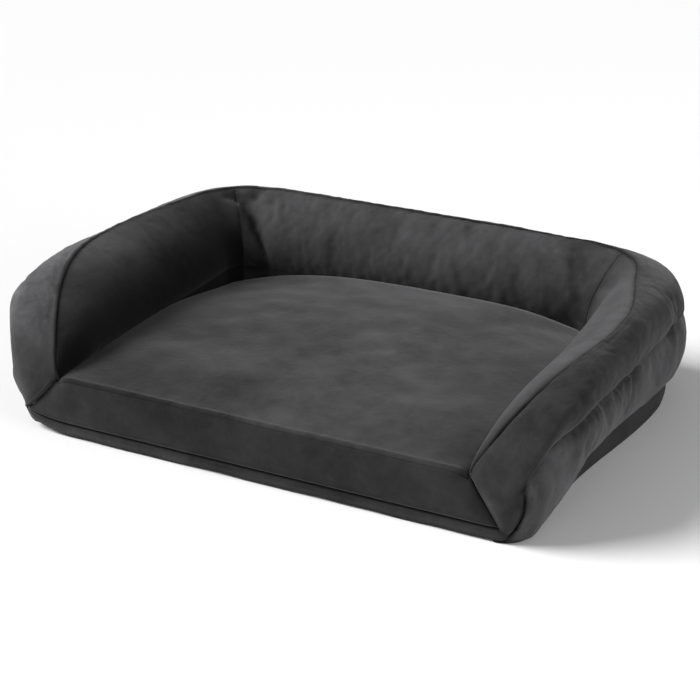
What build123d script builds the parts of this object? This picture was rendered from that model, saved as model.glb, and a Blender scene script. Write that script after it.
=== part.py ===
from build123d import *
import os
from math import cos, hypot, radians, sin, sqrt

# Dog sofa bed: a foam mattress in a sewn cover, with a leaning U-shaped bolster on three sides.
# Millimetres. X runs across the bed, Y from the open front to the back, Z up from the floor.
os.makedirs("parts", exist_ok=True)

# ---------------------------------------------------------------- cloth and clearances
cover_thickness = 2.0  # velvet with its backing
tape_thickness = 0.8
ease_gap = 0.3  # between pieces that only lie against each other

# ---------------------------------------------------------------- seat
seat_width = 800.0
seat_depth = 657.0
seat_corner_radius = 60.0
seat_edge_height = 116.0
seat_crown = 10.0  # how far the middle of the seat stands above its front and back edges
front_bow = 6.0  # how far the front band puffs forward

# ---------------------------------------------------------------- base
base_height = 46.0
lip_height = 26.0
base_side_reach = 98.0  # beyond the seat, at the front of the arms
base_flare = 50.0  # how much further it reaches at the back of the arms
base_back_reach = 120.0
base_corner_fullness = 22.0
base_flare_start = 180.0  # the base widens from here to where the arms meet the back
base_front_radius = 48.0
front_band_foot_reach = 61.0  # the front band is this much wider at its foot, on each side

# ---------------------------------------------------------------- bolster
tuck_height = 112.0  # the inner panels dive beside the seat here
arm_rise = 144.0  # top seam above the seat's edge
arm_rise_length = 330.0  # the nose climbs to that height over this length
arm_lean = 126.0  # top seam outward of the seat's edge
arm_lean_length = 362.0
back_lean = 68.0
back_extra_rise = 6.0
lean_change_start = 400.0
crown_start = 112.0  # the outer band is drawn over this point, above and outward of its seams
crown_growth = 72.0
crown_growth_length = 110.0
crown_rear_growth = 14.0
crown_settle = 18.0  # behind the nose the band sits this much lower again
crown_settle_start = 120.0
crown_settle_length = 200.0
crown_height_start = 124.0
crown_height_rise = 140.0
crown_rise_length = 85.0
back_crown_reach = 136.0
gather_start = 97.0  # gathered seam, outward of the seat's edge at the nose
gather_growth = 48.0
gather_growth_length = 200.0
gather_rear_growth = 14.0
gather_height_start = 102.0
gather_height_rise = 60.0
gather_rise_length = 90.0
back_gather_reach = 108.0
skirt_bulge_start = 16.0  # the skirt is drawn out by this much at the nose
skirt_bulge = 58.0
skirt_bulge_length = 200.0
inner_puff = 58.0  # how far an arm's inner panel is drawn out at full height
back_puff = 28.0
arm_spans = 14  # lengths of the bolster between two cross-sections
corner_spans = 9
curve_spans = 4  # straight stretches in each curve of a cross-section
nose_crowding = 1.6  # the arm's cross-sections lie closer together near the nose

# ---------------------------------------------------------------- zip in the back of the base
zip_length = 640.0
zip_height = 23.0  # centre of the chain above the floor
zip_window = 12.0  # opening between the two strips of the back boxing
bead_inner = 0.8  # from the chain's centre line to one coil
bead_width = 2.8
bead_thickness = 2.6
bead_corner_radius = 0.7
tape_width = 11.0
zip_channel_depth = 7.0
zip_channel_height = 31.0
zip_channel_spare = 14.0  # beyond each end of the chain
slider_length = 15.0
slider_width = 11.0
slider_tail_width = 9.2
slider_corner_radius = 1.8
slider_plate = 1.2
slider_flange = 1.2
divider_thickness = 0.9
divider_length = 3.0
stop_length = 3.0
stop_spare = 0.4  # stops and coils, how much thicker a stop is on each face
bridge_length = 9.0
bridge_width = 2.6
bridge_bar = 1.4
bridge_rise = 2.2  # clear height under the bridge
tab_length = 34.0
tab_width = 9.0
tab_eye_width = 7.0
tab_thickness = 1.3
tab_hole_length = 7.5
tab_hole_width = 4.0
tab_hole_corner_radius = 1.0

# ---------------------------------------------------------------- worked out from the above
seat_half = seat_width / 2
back_skirt_reach = (2 * (back_gather_reach + skirt_bulge) + back_gather_reach + base_back_reach) / 4
overall_depth = front_bow + seat_depth + back_skirt_reach
front_y = -overall_depth / 2 + front_bow
inner_back_y = front_y + seat_depth
base_back_y = inner_back_y + base_back_reach
arm_length = seat_depth - seat_corner_radius
corner_x = seat_half - seat_corner_radius
corner_y = front_y + arm_length
lean_change_length = arm_length + seat_corner_radius * radians(90) - lean_change_start


def ease(travel, power):
    """A rise from 0 that is steep at first and settles at 1."""
    return 1 - (1 - min(max(travel, 0), 1)) ** power


def swing(travel):
    """A gentle S-shaped change from 0 to 1."""
    share = min(max(travel, 0), 1)
    return share * share * (3 - 2 * share)


def mix(first, second, share):
    """The value that lies the given share of the way from first to second."""
    return first + (second - first) * share


def base_reach(run, turn):
    """How far the base stands outward of the seat's edge, at a distance along that edge."""
    rounding = 0.0
    if run < base_front_radius:
        rounding = base_front_radius - sqrt(base_front_radius**2 - (base_front_radius - run) ** 2)
    flare = base_flare * swing((run - base_flare_start) / (arm_length - base_flare_start))
    corner = base_corner_fullness * sin(radians(180 * turn)) ** 2
    return mix(base_side_reach + flare - rounding, base_back_reach, turn) + corner


def section(run, turn):
    """Control points of the bolster's outline, as (outward, height) pairs.

    run is the distance along the seat's edge from the front, and turn goes from 0 on
    the arm to 1 on the back. The points are the foot and the tuck of the inner panel,
    then each panel's curve: its middle control point and the seam where it ends.
    The power of an ease tells how early its rise is over.
    """
    settle = swing((run - lean_change_start) / lean_change_length)
    lean = mix(arm_lean, back_lean, settle) * ease(run / arm_lean_length, 2)
    climb = ease(run / arm_rise_length, 3)
    top = seat_edge_height + arm_rise * climb + back_extra_rise * settle
    fullness = base_corner_fullness * sin(radians(180 * turn)) ** 2
    rear = swing((run - arm_lean_length) / (arm_length - arm_lean_length))
    crown = crown_start + crown_growth * ease(run / crown_growth_length, 2) + crown_rear_growth * rear
    crown = mix(crown, back_crown_reach, turn) + fullness
    crown_height = crown_height_start + crown_height_rise * ease(run / crown_rise_length, 2)
    crown_height -= crown_settle * swing((run - crown_settle_start) / crown_settle_length) * (1 - turn)
    gather = gather_start + gather_growth * ease(run / gather_growth_length, 2) + gather_rear_growth * rear
    gather = mix(gather, back_gather_reach, turn) + fullness
    gather_height = gather_height_start + gather_height_rise * ease(run / gather_rise_length, 2)
    bulge = mix(skirt_bulge_start, skirt_bulge, ease(run / skirt_bulge_length, 1))
    puff = mix(inner_puff, back_puff, settle) * climb / hypot(lean, top - tuck_height)
    return [
        (0.0, base_height + ease_gap),
        (0.0, tuck_height),
        (lean / 2 - puff * (top - tuck_height), (tuck_height + top) / 2 + puff * lean),
        (lean, top),
        (crown, crown_height),
        (gather, gather_height),
        (gather + bulge, (gather_height + base_height) / 2),
        (base_reach(run, turn), base_height),
    ]


def inward(start, end):
    """Unit vector towards the inside of the bolster, across one span of its outline."""
    length = hypot(end[0] - start[0], end[1] - start[1])
    return (end[1] - start[1]) / length, (start[0] - end[0]) / length


def inset(outline, distance):
    """The same outline, moved towards the inside, with its ends moved level."""
    moved = [(outline[0][0] + distance, outline[0][1])]
    for before, point, after in zip(outline, outline[1:], outline[2:]):
        first, second = inward(before, point), inward(point, after)
        reach = distance / (1 + first[0] * second[0] + first[1] * second[1])
        moved.append((point[0] + reach * (first[0] + second[0]), point[1] + reach * (first[1] + second[1])))
    return moved + [(outline[-1][0] - distance, outline[-1][1])]


def curve(start, middle, end):
    """Points along the quadratic curve that leaves start and reaches end, drawn towards middle."""
    points = []
    for index in range(curve_spans + 1):
        share = index / curve_spans
        first = [mix(a, b, share) for a, b in zip(start, middle)]
        second = [mix(a, b, share) for a, b in zip(middle, end)]
        points.append(tuple(mix(a, b, share) for a, b in zip(first, second)))
    return points


def arm_plane(run):
    return Plane(origin=(seat_half, front_y + run, 0), x_dir=(1, 0, 0), z_dir=(0, -1, 0))


def corner_plane(angle):
    outward = (cos(radians(angle)), sin(radians(angle)), 0)
    start = (corner_x + seat_corner_radius * outward[0], corner_y + seat_corner_radius * outward[1], 0)
    return Plane(origin=start, x_dir=outward, z_dir=(outward[1], -outward[0], 0))


def back_plane(x):
    return Plane(origin=(x, inner_back_y, 0), x_dir=(0, 1, 0), z_dir=(1, 0, 0))


def stations(nose):
    """Planes and outlines along one half of the bolster, from its nose to the bed's middle."""
    stops = []
    for index in range(arm_spans + 1):
        run = nose + (arm_length - nose) * (index / arm_spans) ** nose_crowding
        stops.append((arm_plane(run), section(run, 0)))
    for index in range(1, corner_spans + 1):
        angle = 90 * index / corner_spans
        run = arm_length + seat_corner_radius * radians(angle)
        stops.append((corner_plane(angle), section(run, swing(angle / 90))))
    stops.append((back_plane(0), stops[-1][1]))
    return stops


cover_stations = stations(cover_thickness)
mitre_plane = Plane(origin=(corner_x, corner_y, 0), x_dir=(0, 0, 1), z_dir=(1, -1, 0))


def sewn_panel(first, last):
    """One half of a cover panel of the bolster, between two seams of its outline."""
    with BuildPart() as panel:
        for plane, outline in cover_stations:
            outer = outline[first : last + 1]
            inner = inset(outline, cover_thickness)[first : last + 1]
            outside = outer[:-3] + curve(*outer[-3:])
            inside = inner[:-3] + curve(*inner[-3:])
            with BuildSketch(plane):
                with BuildLine():
                    Polyline(*outside, *reversed(inside), close=True)
                make_face()
        loft(ruled=True)
    return panel.part


def save(piece, name):
    """Name a finished piece and write it to its file."""
    piece.label = name
    export_step(piece, f"parts/{name}.step")


# ---------------------------------------------------------------- base outline
# The plan of the base follows the bolster's foot along the sides and the back.
side_points = [Vector(seat_half + base_reach(base_front_radius, 0), front_y + base_front_radius)]
for plane, outline in cover_stations[:-1]:
    foot = plane.from_local_coords(Vector(outline[-1][0], 0))
    if foot.Y > side_points[0].Y + base_front_radius:
        side_points.append(foot)
base_front_x = seat_half + base_side_reach - base_front_radius

with BuildSketch() as base_plan:
    with BuildLine():
        Line((0, front_y), (base_front_x, front_y))
        RadiusArc((base_front_x, front_y), side_points[0], -base_front_radius)
        Polyline(*side_points, (0, base_back_y), (0, front_y))
    make_face()
    mirror(about=Plane.YZ)

# ---------------------------------------------------------------- bottom panel and foam
with BuildPart() as bottom_panel:
    with BuildSketch():
        offset(base_plan.sketch, -cover_thickness)
    extrude(amount=cover_thickness)
save(bottom_panel.part, "bottom_panel")

zip_channel_length = zip_length + 2 * zip_channel_spare
foam_inset = cover_thickness + ease_gap

with BuildPart() as support_foam:
    with BuildSketch(Plane.XY.offset(foam_inset)):
        offset(base_plan.sketch, -foam_inset)
    extrude(amount=base_height - foam_inset)
    with BuildSketch(Plane.XZ.offset(-base_back_y)):  # room for the zip and its slider
        with Locations((0, zip_height)):
            Rectangle(zip_channel_length, zip_channel_height)
    extrude(amount=zip_channel_depth, mode=Mode.SUBTRACT)
save(support_foam.part, "support_foam")

# The seat's plan has square front corners and rounded back corners.
with BuildSketch() as seat_plan:
    with Locations((0, front_y + seat_depth / 2)):
        Rectangle(seat_width, seat_depth)
    fillet(seat_plan.vertices().group_by(Axis.Y)[-1], seat_corner_radius)


def crowned_slab(plan_inset, bottom, drop):
    """A slab on the seat's plan, with the seat's crowned top lowered by drop."""
    back = front_y + seat_depth
    middle = (front_y + back) / 2
    edge = seat_edge_height - drop
    with BuildPart() as slab:
        with BuildSketch(Plane.XY.offset(bottom)):
            offset(seat_plan.sketch, -plan_inset)
        extrude(amount=seat_edge_height + seat_crown - bottom)
        with BuildSketch(Plane.YZ):
            with BuildLine():
                ThreePointArc((front_y, edge), (middle, edge + seat_crown), (back, edge))
                Polyline((back, edge), (back, bottom), (front_y, bottom), (front_y, edge))
            make_face()
        extrude(amount=seat_half, both=True, mode=Mode.INTERSECT)
    return slab.part


comfort_foam = crowned_slab(foam_inset, base_height + ease_gap, foam_inset)
save(comfort_foam, "comfort_foam")

with BuildPart() as seat_panel:
    add(crowned_slab(ease_gap, base_height + ease_gap, 0))
    add(crowned_slab(0, 0, cover_thickness), mode=Mode.SUBTRACT)
save(seat_panel.part, "seat_panel")

# ---------------------------------------------------------------- front of the base
band_top_x = seat_half - ease_gap
band_foot_x = seat_half + front_band_foot_reach

with BuildPart() as front_band:
    band_top = seat_edge_height - cover_thickness - ease_gap
    band_middle = (lip_height + band_top) / 2
    back_y = front_y + cover_thickness
    with BuildSketch(Plane.YZ):
        with BuildLine():
            ThreePointArc((front_y, lip_height), (front_y - front_bow, band_middle), (front_y, band_top))
            Line((front_y, band_top), (back_y, band_top))
            ThreePointArc((back_y, band_top), (back_y - front_bow, band_middle), (back_y, lip_height))
            Line((back_y, lip_height), (front_y, lip_height))
        make_face()
    extrude(amount=band_foot_x, both=True)
    with BuildSketch(Plane.XZ.offset(-front_y)):
        with BuildLine():
            Polyline(
                (-band_foot_x, lip_height),
                (band_foot_x, lip_height),
                (band_top_x, band_top),
                (-band_top_x, band_top),
                close=True,
            )
        make_face()
    extrude(amount=2 * front_bow, both=True, mode=Mode.INTERSECT)
save(front_band.part, "front_band")

# ---------------------------------------------------------------- boxing round the base
with BuildSketch() as boxing_ring:
    add(base_plan.sketch)
    offset(base_plan.sketch, -cover_thickness, mode=Mode.SUBTRACT)

boxing_top = base_height - ease_gap
strip_half = zip_channel_length / 2
notch_size = (2 * (seat_half + base_side_reach), 2 * foam_inset, base_height)
notch_align = (Align.CENTER, Align.CENTER, Align.MIN)


def boxing_strip(bottom, top, half_length, y):
    """A straight stretch of the boxing at the front or the back, between two heights."""
    with BuildPart() as strip:
        with BuildSketch(Plane.XY.offset(bottom)):
            add(boxing_ring.sketch)
            with Locations((0, y)):
                Rectangle(2 * half_length, seat_depth, mode=Mode.INTERSECT)
        extrude(amount=top - bottom)
    return strip.part


with BuildPart() as side_boxing:
    with BuildSketch():
        add(boxing_ring.sketch)
        with Locations((0, front_y)):
            Rectangle(2 * base_front_x, seat_depth, mode=Mode.SUBTRACT)
        with Locations((0, base_back_y)):
            Rectangle(2 * strip_half, seat_depth, mode=Mode.SUBTRACT)
    extrude(amount=boxing_top)
    with Locations((0, front_y, lip_height)):  # room for the foot of the outer band
        Box(*notch_size, align=notch_align, mode=Mode.SUBTRACT)
left_boxing, right_boxing = side_boxing.part.solids().sort_by(Axis.X)
save(left_boxing, "left_boxing")
save(right_boxing, "right_boxing")

save(boxing_strip(0, lip_height, base_front_x, front_y), "front_lip")
save(boxing_strip(0, zip_height - zip_window / 2, strip_half, base_back_y), "back_boxing_lower")
save(boxing_strip(zip_height + zip_window / 2, boxing_top, strip_half, base_back_y), "back_boxing_upper")

# ---------------------------------------------------------------- bolster cover
inner_half = sewn_panel(0, 3)
band_half = sewn_panel(3, 5)
skirt_half = sewn_panel(5, 7)

with BuildPart() as right_inner_panel:
    add(inner_half)
    split(bisect_by=mitre_plane, keep=Keep.TOP)
save(right_inner_panel.part, "right_inner_panel")

with BuildPart() as left_inner_panel:
    mirror(right_inner_panel.part, about=Plane.YZ)
save(left_inner_panel.part, "left_inner_panel")

with BuildPart() as back_inner_panel:
    add(inner_half)
    split(bisect_by=mitre_plane, keep=Keep.BOTTOM)
    mirror(about=Plane.YZ)
save(back_inner_panel.part, "back_inner_panel")

# The outer band wraps the nose of each arm down to the foot of the front band.
nose = cover_stations[0][1]
with BuildPart() as outer_band:
    add(band_half)
    with BuildSketch(arm_plane(0)):
        with BuildLine():
            Polyline(
                (front_band_foot_reach, lip_height),
                (0, seat_edge_height),
                *curve(*nose[3:6]),
                *curve(*nose[5:8])[1:],
                (nose[7][0], lip_height),
                close=True,
            )
        make_face()
    extrude(amount=-cover_thickness)
    mirror(about=Plane.YZ)
save(outer_band.part, "outer_band")

with BuildPart() as gathered_skirt:
    add(skirt_half)
    mirror(about=Plane.YZ)
save(gathered_skirt.part, "gathered_skirt")

# ---------------------------------------------------------------- bolster filling
fill_inset = cover_thickness + ease_gap
with BuildPart() as fill_half:
    for plane, outline in stations(fill_inset):
        edge = inset(outline, fill_inset)
        foot = base_height + ease_gap
        with BuildSketch(plane):
            with BuildLine():
                Polyline(
                    (edge[0][0], foot),
                    *curve(*edge[1:4]),
                    *curve(*edge[3:6])[1:],
                    *curve(edge[5], edge[6], (edge[7][0], foot))[1:],
                    close=True,
                )
            make_face()
    loft(ruled=True)

with BuildPart() as right_bolster_fill:
    add(fill_half.part)
    split(bisect_by=mitre_plane, keep=Keep.TOP)
save(right_bolster_fill.part, "right_bolster_fill")

with BuildPart() as left_bolster_fill:
    mirror(right_bolster_fill.part, about=Plane.YZ)
save(left_bolster_fill.part, "left_bolster_fill")

with BuildPart() as back_bolster_fill:
    add(fill_half.part)
    split(bisect_by=mitre_plane, keep=Keep.BOTTOM)
    mirror(about=Plane.YZ)
save(back_bolster_fill.part, "back_bolster_fill")

# ---------------------------------------------------------------- zip
# The tapes lie against the inside of the boxing, and the coils run in the window between.
tape_face_y = base_back_y - cover_thickness
chain_y = tape_face_y - tape_thickness / 2
bead_outer = bead_inner + bead_width


def zip_half(sign):
    """The tape and the coil on one side of the chain's centre line: +1 above, -1 below."""
    with BuildPart() as tape:
        with Locations((0, chain_y, zip_height + sign * (bead_outer + tape_width / 2))):
            Box(zip_channel_length, tape_thickness, tape_width)
    with BuildPart() as coil:
        with BuildSketch(Plane.YZ):
            with Locations((chain_y, zip_height + sign * (bead_inner + bead_width / 2))):
                RectangleRounded(bead_thickness, bead_width, bead_corner_radius)
        extrude(amount=zip_length / 2, both=True)
    return tape.part, coil.part


for name, sign in (("upper", 1), ("lower", -1)):
    tape, coil = zip_half(sign)
    save(tape, f"zip_tape_{name}")
    save(coil, f"zip_coil_{name}")

with BuildPart() as zip_stops:
    stop_thickness = bead_thickness + 2 * stop_spare
    top_stop_x = (zip_length + stop_length) / 2
    with Locations(*[(top_stop_x, chain_y, zip_height + s * (bead_inner + bead_width / 2)) for s in (1, -1)]):
        Box(stop_length, stop_thickness, bead_width)
    with Locations((-top_stop_x, chain_y, zip_height)):
        Box(stop_length, stop_thickness, 2 * bead_outer)
    fillet(zip_stops.edges().filter_by(Axis.Z), stop_spare)
save(zip_stops.part, "zip_stops")

# The slider: two plates joined by the divider, with flanges that hold the coils in.
slider_x = zip_length / 2 - ease_gap - slider_length / 2
plate_gap = bead_thickness + 2 * ease_gap
outer_plate_y = chain_y + plate_gap / 2
bridge_y = outer_plate_y + slider_plate


# The shield shape of a slider plate, wide at the mouth and narrower at the tail.
with BuildSketch() as shield:
    with BuildLine():
        Polyline(
            (slider_length / 2, -slider_width / 2),
            (slider_length / 2, slider_width / 2),
            (-slider_length / 2, slider_tail_width / 2),
            (-slider_length / 2, -slider_tail_width / 2),
            close=True,
        )
    make_face()
    fillet(shield.vertices(), slider_corner_radius)

slot = tape_thickness + 2 * ease_gap
flange_depth = (plate_gap - slot) / 2
flange_inner = bead_outer + ease_gap
divider_x = slider_x + (slider_length - divider_length) / 2 - slider_flange

with BuildPart() as zip_slider:
    for side in (1, -1):
        plate_origin = (slider_x, chain_y + side * plate_gap / 2, zip_height)
        plate_plane = Plane(plate_origin, x_dir=(1, 0, 0), z_dir=(0, -1, 0))
        with BuildSketch(plate_plane):
            add(shield.sketch)
        extrude(amount=-side * slider_plate)
        with BuildSketch(plate_plane):
            add(shield.sketch)
            Rectangle(slider_length, 2 * flange_inner, mode=Mode.SUBTRACT)
        extrude(amount=side * flange_depth)
    with Locations((divider_x, chain_y, zip_height)):
        Box(divider_length, plate_gap, divider_thickness)
    with BuildSketch(Plane((slider_x, bridge_y, zip_height), x_dir=(1, 0, 0), z_dir=(0, 0, 1))) as bridge:
        foot_align = (Align.CENTER, Align.MIN)
        Rectangle(bridge_length + 2 * bridge_bar, bridge_rise + bridge_bar, align=foot_align)
        fillet(bridge.vertices().group_by(Axis.Y)[-1], bridge_bar)
        Rectangle(bridge_length, bridge_rise, align=foot_align, mode=Mode.SUBTRACT)
    extrude(amount=bridge_width / 2, both=True)
save(zip_slider.part, "zip_slider")

# The pull tab turns on the cross bar of its own eye, which lies under the bridge.
pin_radius = tab_thickness / 2
tab_pin_y = bridge_y + ease_gap + pin_radius
with BuildPart() as zip_pull_tab:
    with BuildSketch(Plane((slider_x, tab_pin_y, zip_height), x_dir=(-1, 0, 0), z_dir=(0, 1, 0))):
        with BuildLine():
            eye, half = tab_eye_width / 2, tab_width / 2
            neck = tab_hole_length + half
            Line((0, -eye), (0, eye))
            Line((0, eye), (neck, half))
            Line((neck, half), (tab_length - half, half))
            ThreePointArc((tab_length - half, half), (tab_length, 0), (tab_length - half, -half))
            Line((tab_length - half, -half), (neck, -half))
            Line((neck, -half), (0, -eye))
        make_face()
        with Locations((pin_radius + tab_hole_length / 2, 0)):
            RectangleRounded(tab_hole_length, tab_hole_width, tab_hole_corner_radius, mode=Mode.SUBTRACT)
    extrude(amount=tab_thickness / 2, both=True)
    with BuildSketch(Plane.XY.offset(zip_height)):
        with Locations((slider_x, tab_pin_y)):
            Circle(pin_radius)
    extrude(amount=tab_eye_width / 2, both=True)
save(zip_pull_tab.part, "zip_pull_tab")

print("overall depth", round(overall_depth, 1))
print("slider centre", round(slider_x, 2), round(chain_y, 2), zip_height)
print("slider travel", round(2 * slider_x, 2))
print("pull tab pin", round(slider_x, 2), round(tab_pin_y, 2), zip_height)
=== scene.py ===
# %% [markdown]
# # A dog sofa bed in charcoal velvet
# This notebook dresses a bed that was engineered in CAD. Each cell makes one thing: first the frame, the
# camera and the light, then the finishes, then the cloth, panel by panel, as an upholsterer would cut it.
# Everything is in metres, in the CAD model's own frame: X across the bed, Y from its open front to its
# back, and Z up from the floor.

# %% Load the frame
from math import cos, pi, radians, sin

import bpy
import numpy as np
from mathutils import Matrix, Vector, noise
from mathutils.kdtree import KDTree


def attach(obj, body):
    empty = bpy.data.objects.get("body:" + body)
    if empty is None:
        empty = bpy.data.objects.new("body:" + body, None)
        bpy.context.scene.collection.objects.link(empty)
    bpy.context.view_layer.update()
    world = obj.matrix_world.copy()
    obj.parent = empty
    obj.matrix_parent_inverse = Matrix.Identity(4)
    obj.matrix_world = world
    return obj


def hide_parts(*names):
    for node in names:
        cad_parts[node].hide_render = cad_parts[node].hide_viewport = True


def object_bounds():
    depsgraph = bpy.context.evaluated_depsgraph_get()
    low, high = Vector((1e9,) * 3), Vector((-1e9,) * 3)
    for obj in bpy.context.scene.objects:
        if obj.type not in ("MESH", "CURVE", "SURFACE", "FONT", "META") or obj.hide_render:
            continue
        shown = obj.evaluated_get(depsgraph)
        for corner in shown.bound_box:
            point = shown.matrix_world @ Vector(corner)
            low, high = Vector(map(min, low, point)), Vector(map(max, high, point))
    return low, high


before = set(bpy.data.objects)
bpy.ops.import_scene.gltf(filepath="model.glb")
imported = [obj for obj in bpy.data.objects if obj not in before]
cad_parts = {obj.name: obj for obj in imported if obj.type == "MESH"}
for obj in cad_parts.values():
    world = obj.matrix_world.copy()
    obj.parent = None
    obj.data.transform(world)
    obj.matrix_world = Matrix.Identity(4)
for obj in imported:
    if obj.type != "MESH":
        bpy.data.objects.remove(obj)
cad_low, cad_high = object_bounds()
print("CAD box", [round(v, 4) for v in (*cad_low, *cad_high)])

# %% [markdown]
# ## Camera
# A portrait of furniture is taken from a little above, with a long lens, so that upright edges stay
# upright. The camera is aimed by an azimuth and an elevation, which say more to a reader than a
# rotation in three numbers would.

# %% Camera
camera_azimuth = radians(26.394)
camera_elevation = radians(24.344)
camera_place = Vector((1.2570, -2.5428, 1.3757))
lens_pixels = 1629.9  # focal length, counted in pixels of a picture that is 700 wide
picture_width = 700

away = Vector((
    sin(camera_azimuth) * cos(camera_elevation),
    -cos(camera_azimuth) * cos(camera_elevation),
    sin(camera_elevation),
))
camera_data = bpy.data.cameras.new("camera")
camera_data.sensor_width = 36
camera_data.lens = lens_pixels / picture_width * camera_data.sensor_width
camera = bpy.data.objects.new("camera", camera_data)
camera.location = camera_place
camera.rotation_mode = "QUATERNION"
camera.rotation_quaternion = (-away).to_track_quat("-Z", "Y")
bpy.context.collection.objects.link(camera)
bpy.context.scene.camera = camera
print("lens", round(camera_data.lens, 1), "mm")

# %% [markdown]
# ## Floor
# The bed stands on a plain pale floor, one large square that reaches past the edge of every view.

# %% Floor
floor_data = bpy.data.meshes.new("floor")
floor_reach = 60.0
floor_corners = [(x * floor_reach, y * floor_reach, 0) for x, y in ((-1, -1), (1, -1), (1, 1), (-1, 1))]
floor_data.from_pydata(floor_corners, [], [(0, 1, 2, 3)])
floor = bpy.data.objects.new("floor", floor_data)
bpy.context.collection.objects.link(floor)

floor_finish = bpy.data.materials.new("pale_floor")
floor_finish.use_nodes = True
floor_shader = floor_finish.node_tree.nodes["Principled BSDF"]
floor_shader.inputs["Base Color"].default_value = (0.9, 0.9, 0.9, 1)
floor_shader.inputs["Roughness"].default_value = 0.9
floor_data.materials.append(floor_finish)
print("floor", 2 * floor_reach, "m wide")

# %% [markdown]
# ## Light
# Dark velvet needs a large soft source, because small lamps make hard glints on the pile. The key light
# comes from the bed's left, low enough that the left arm's inner face lies in shade and the right
# arm's inner face is bright. It is a sun with a wide disc, so the floor is evenly white and shadows
# have soft edges. A low lamp on the right and a weak sky keep the shaded side readable.

# %% Light
key_direction, key_disc = (2.3, 0.75, -1.9), radians(32)
fill_place, fill_target = (2.7, -0.7, 1.15), (0.3, -0.1, 0.1)
fill_size, fill_power = 1.4, 26


def soft_light(name, place, target, size, power):
    """A square area light at place, turned towards target."""
    data = bpy.data.lights.new(name, "AREA")
    data.size = size
    data.energy = power
    light = bpy.data.objects.new(name, data)
    light.location = place
    light.rotation_mode = "QUATERNION"
    light.rotation_quaternion = (Vector(target) - Vector(place)).to_track_quat("-Z", "Y")
    bpy.context.collection.objects.link(light)


key_data = bpy.data.lights.new("key_light", "SUN")
key_data.energy = 4.4
key_data.angle = key_disc
key_light = bpy.data.objects.new("key_light", key_data)
key_light.rotation_mode = "QUATERNION"
key_light.rotation_quaternion = Vector(key_direction).to_track_quat("-Z", "Y")
bpy.context.collection.objects.link(key_light)
soft_light("right_fill", fill_place, fill_target, fill_size, fill_power)

sky_strength = 0.22
sky = bpy.data.worlds.new("sky")
sky.use_nodes = True
sky_light = sky.node_tree.nodes["Background"]
sky_light.inputs["Color"].default_value = (1, 1, 1, 1)
sky_light.inputs["Strength"].default_value = sky_strength
bpy.context.scene.world = sky
bpy.context.scene.view_settings.view_transform = "Standard"
print("key light", round(key_data.energy, 2), "sky", sky_strength)

# %% [markdown]
# ## Helpers for the finishes
# Each finish is a small tree of nodes: noises over the object's own coordinates, a ramp that turns them
# into colours, and a bump for the grain. It could be painted on an image instead, but nodes need no
# unwrapping and stay sharp close up. A node takes one call here: an input that is given as the output of
# another node is linked, and a plain number or colour is set on the socket itself.

# %% Node tree


class NodeTree:
    """A material in the making, with its shader and the place of each point on the object."""

    def __init__(self, name, roughness):
        self.material = bpy.data.materials.new(name)
        self.material.use_nodes = True
        self.tree = self.material.node_tree
        self.shader = self.tree.nodes["Principled BSDF"]
        self.shader.inputs["Roughness"].default_value = roughness
        self.place = self.add("ShaderNodeTexCoord", "Object", {})

    def feed(self, node, inputs):
        """Link or set the inputs of a node."""
        for key, value in inputs.items():
            if isinstance(value, bpy.types.NodeSocket):
                self.tree.links.new(value, node.inputs[key])
            else:
                node.inputs[key].default_value = value

    def add(self, kind, output, inputs, **settings):
        """One output of a new node."""
        node = self.tree.nodes.new(kind)
        for key, value in settings.items():
            setattr(node, key, value)
        self.feed(node, inputs)
        return node.outputs[output]

    def done(self, inputs):
        """Link or set the shader's inputs, and hand over the material."""
        self.feed(self.shader, inputs)
        return self.material


print("a finish starts as a", NodeTree.__name__)

# %% [markdown]
# ## What the finishes are made of
# Six kinds of nodes do most of the work for the cloth, foam and metal here. Each gets a method, named
# for what it does to the surface rather than for the node, so that a finish reads like a recipe.

# %% Finish


class Finish(NodeTree):
    """A material that is put together from noises, mixes, ramps and bumps."""

    def field(self, scale, detail, roughness=0.5, distortion=0):
        """A noise over the object, with its scale in cycles per metre."""
        shape = {"Scale": scale, "Detail": detail, "Roughness": roughness, "Distortion": distortion}
        return self.add("ShaderNodeTexNoise", "Fac", {"Vector": self.place, **shape})

    def weighted(self, first, second, share):
        """The mean of two values, with the given share of the second."""
        inputs = {"Factor": share, "A": first, "B": second}
        return self.add("ShaderNodeMix", "Result", inputs, data_type="FLOAT")

    def maths(self, operation, *values):
        """A sum, a product or the like."""
        return self.add("ShaderNodeMath", "Value", dict(enumerate(values)), operation=operation)

    def rise(self, axis, low, high):
        """A value that goes from 0 to 1 between two places on an axis."""
        place = self.add("ShaderNodeSeparateXYZ", axis, {"Vector": self.place})
        limits = {"Value": place, "From Min": low, "From Max": high}
        return self.add("ShaderNodeMapRange", "Result", limits, interpolation_type="SMOOTHSTEP")

    def ramp(self, value, low, dark, high, light):
        """Colours from dark to light while a value goes from low to high."""
        colour = self.add("ShaderNodeValToRGB", "Color", {"Fac": value})
        for stop, position, shade in zip(colour.node.color_ramp.elements, (low, high), (dark, light)):
            stop.position, stop.color = position, (*shade, 1)
        return colour

    def bump(self, height, depth, strength=1.0):
        """Raise the surface by a value, up to a depth in metres."""
        inputs = {"Height": height, "Distance": depth, "Strength": strength}
        self.feed(self.shader, {"Normal": self.add("ShaderNodeBump", "Normal", inputs)})


print("methods", *[name for name in vars(Finish) if not name.startswith("_")])
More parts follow.
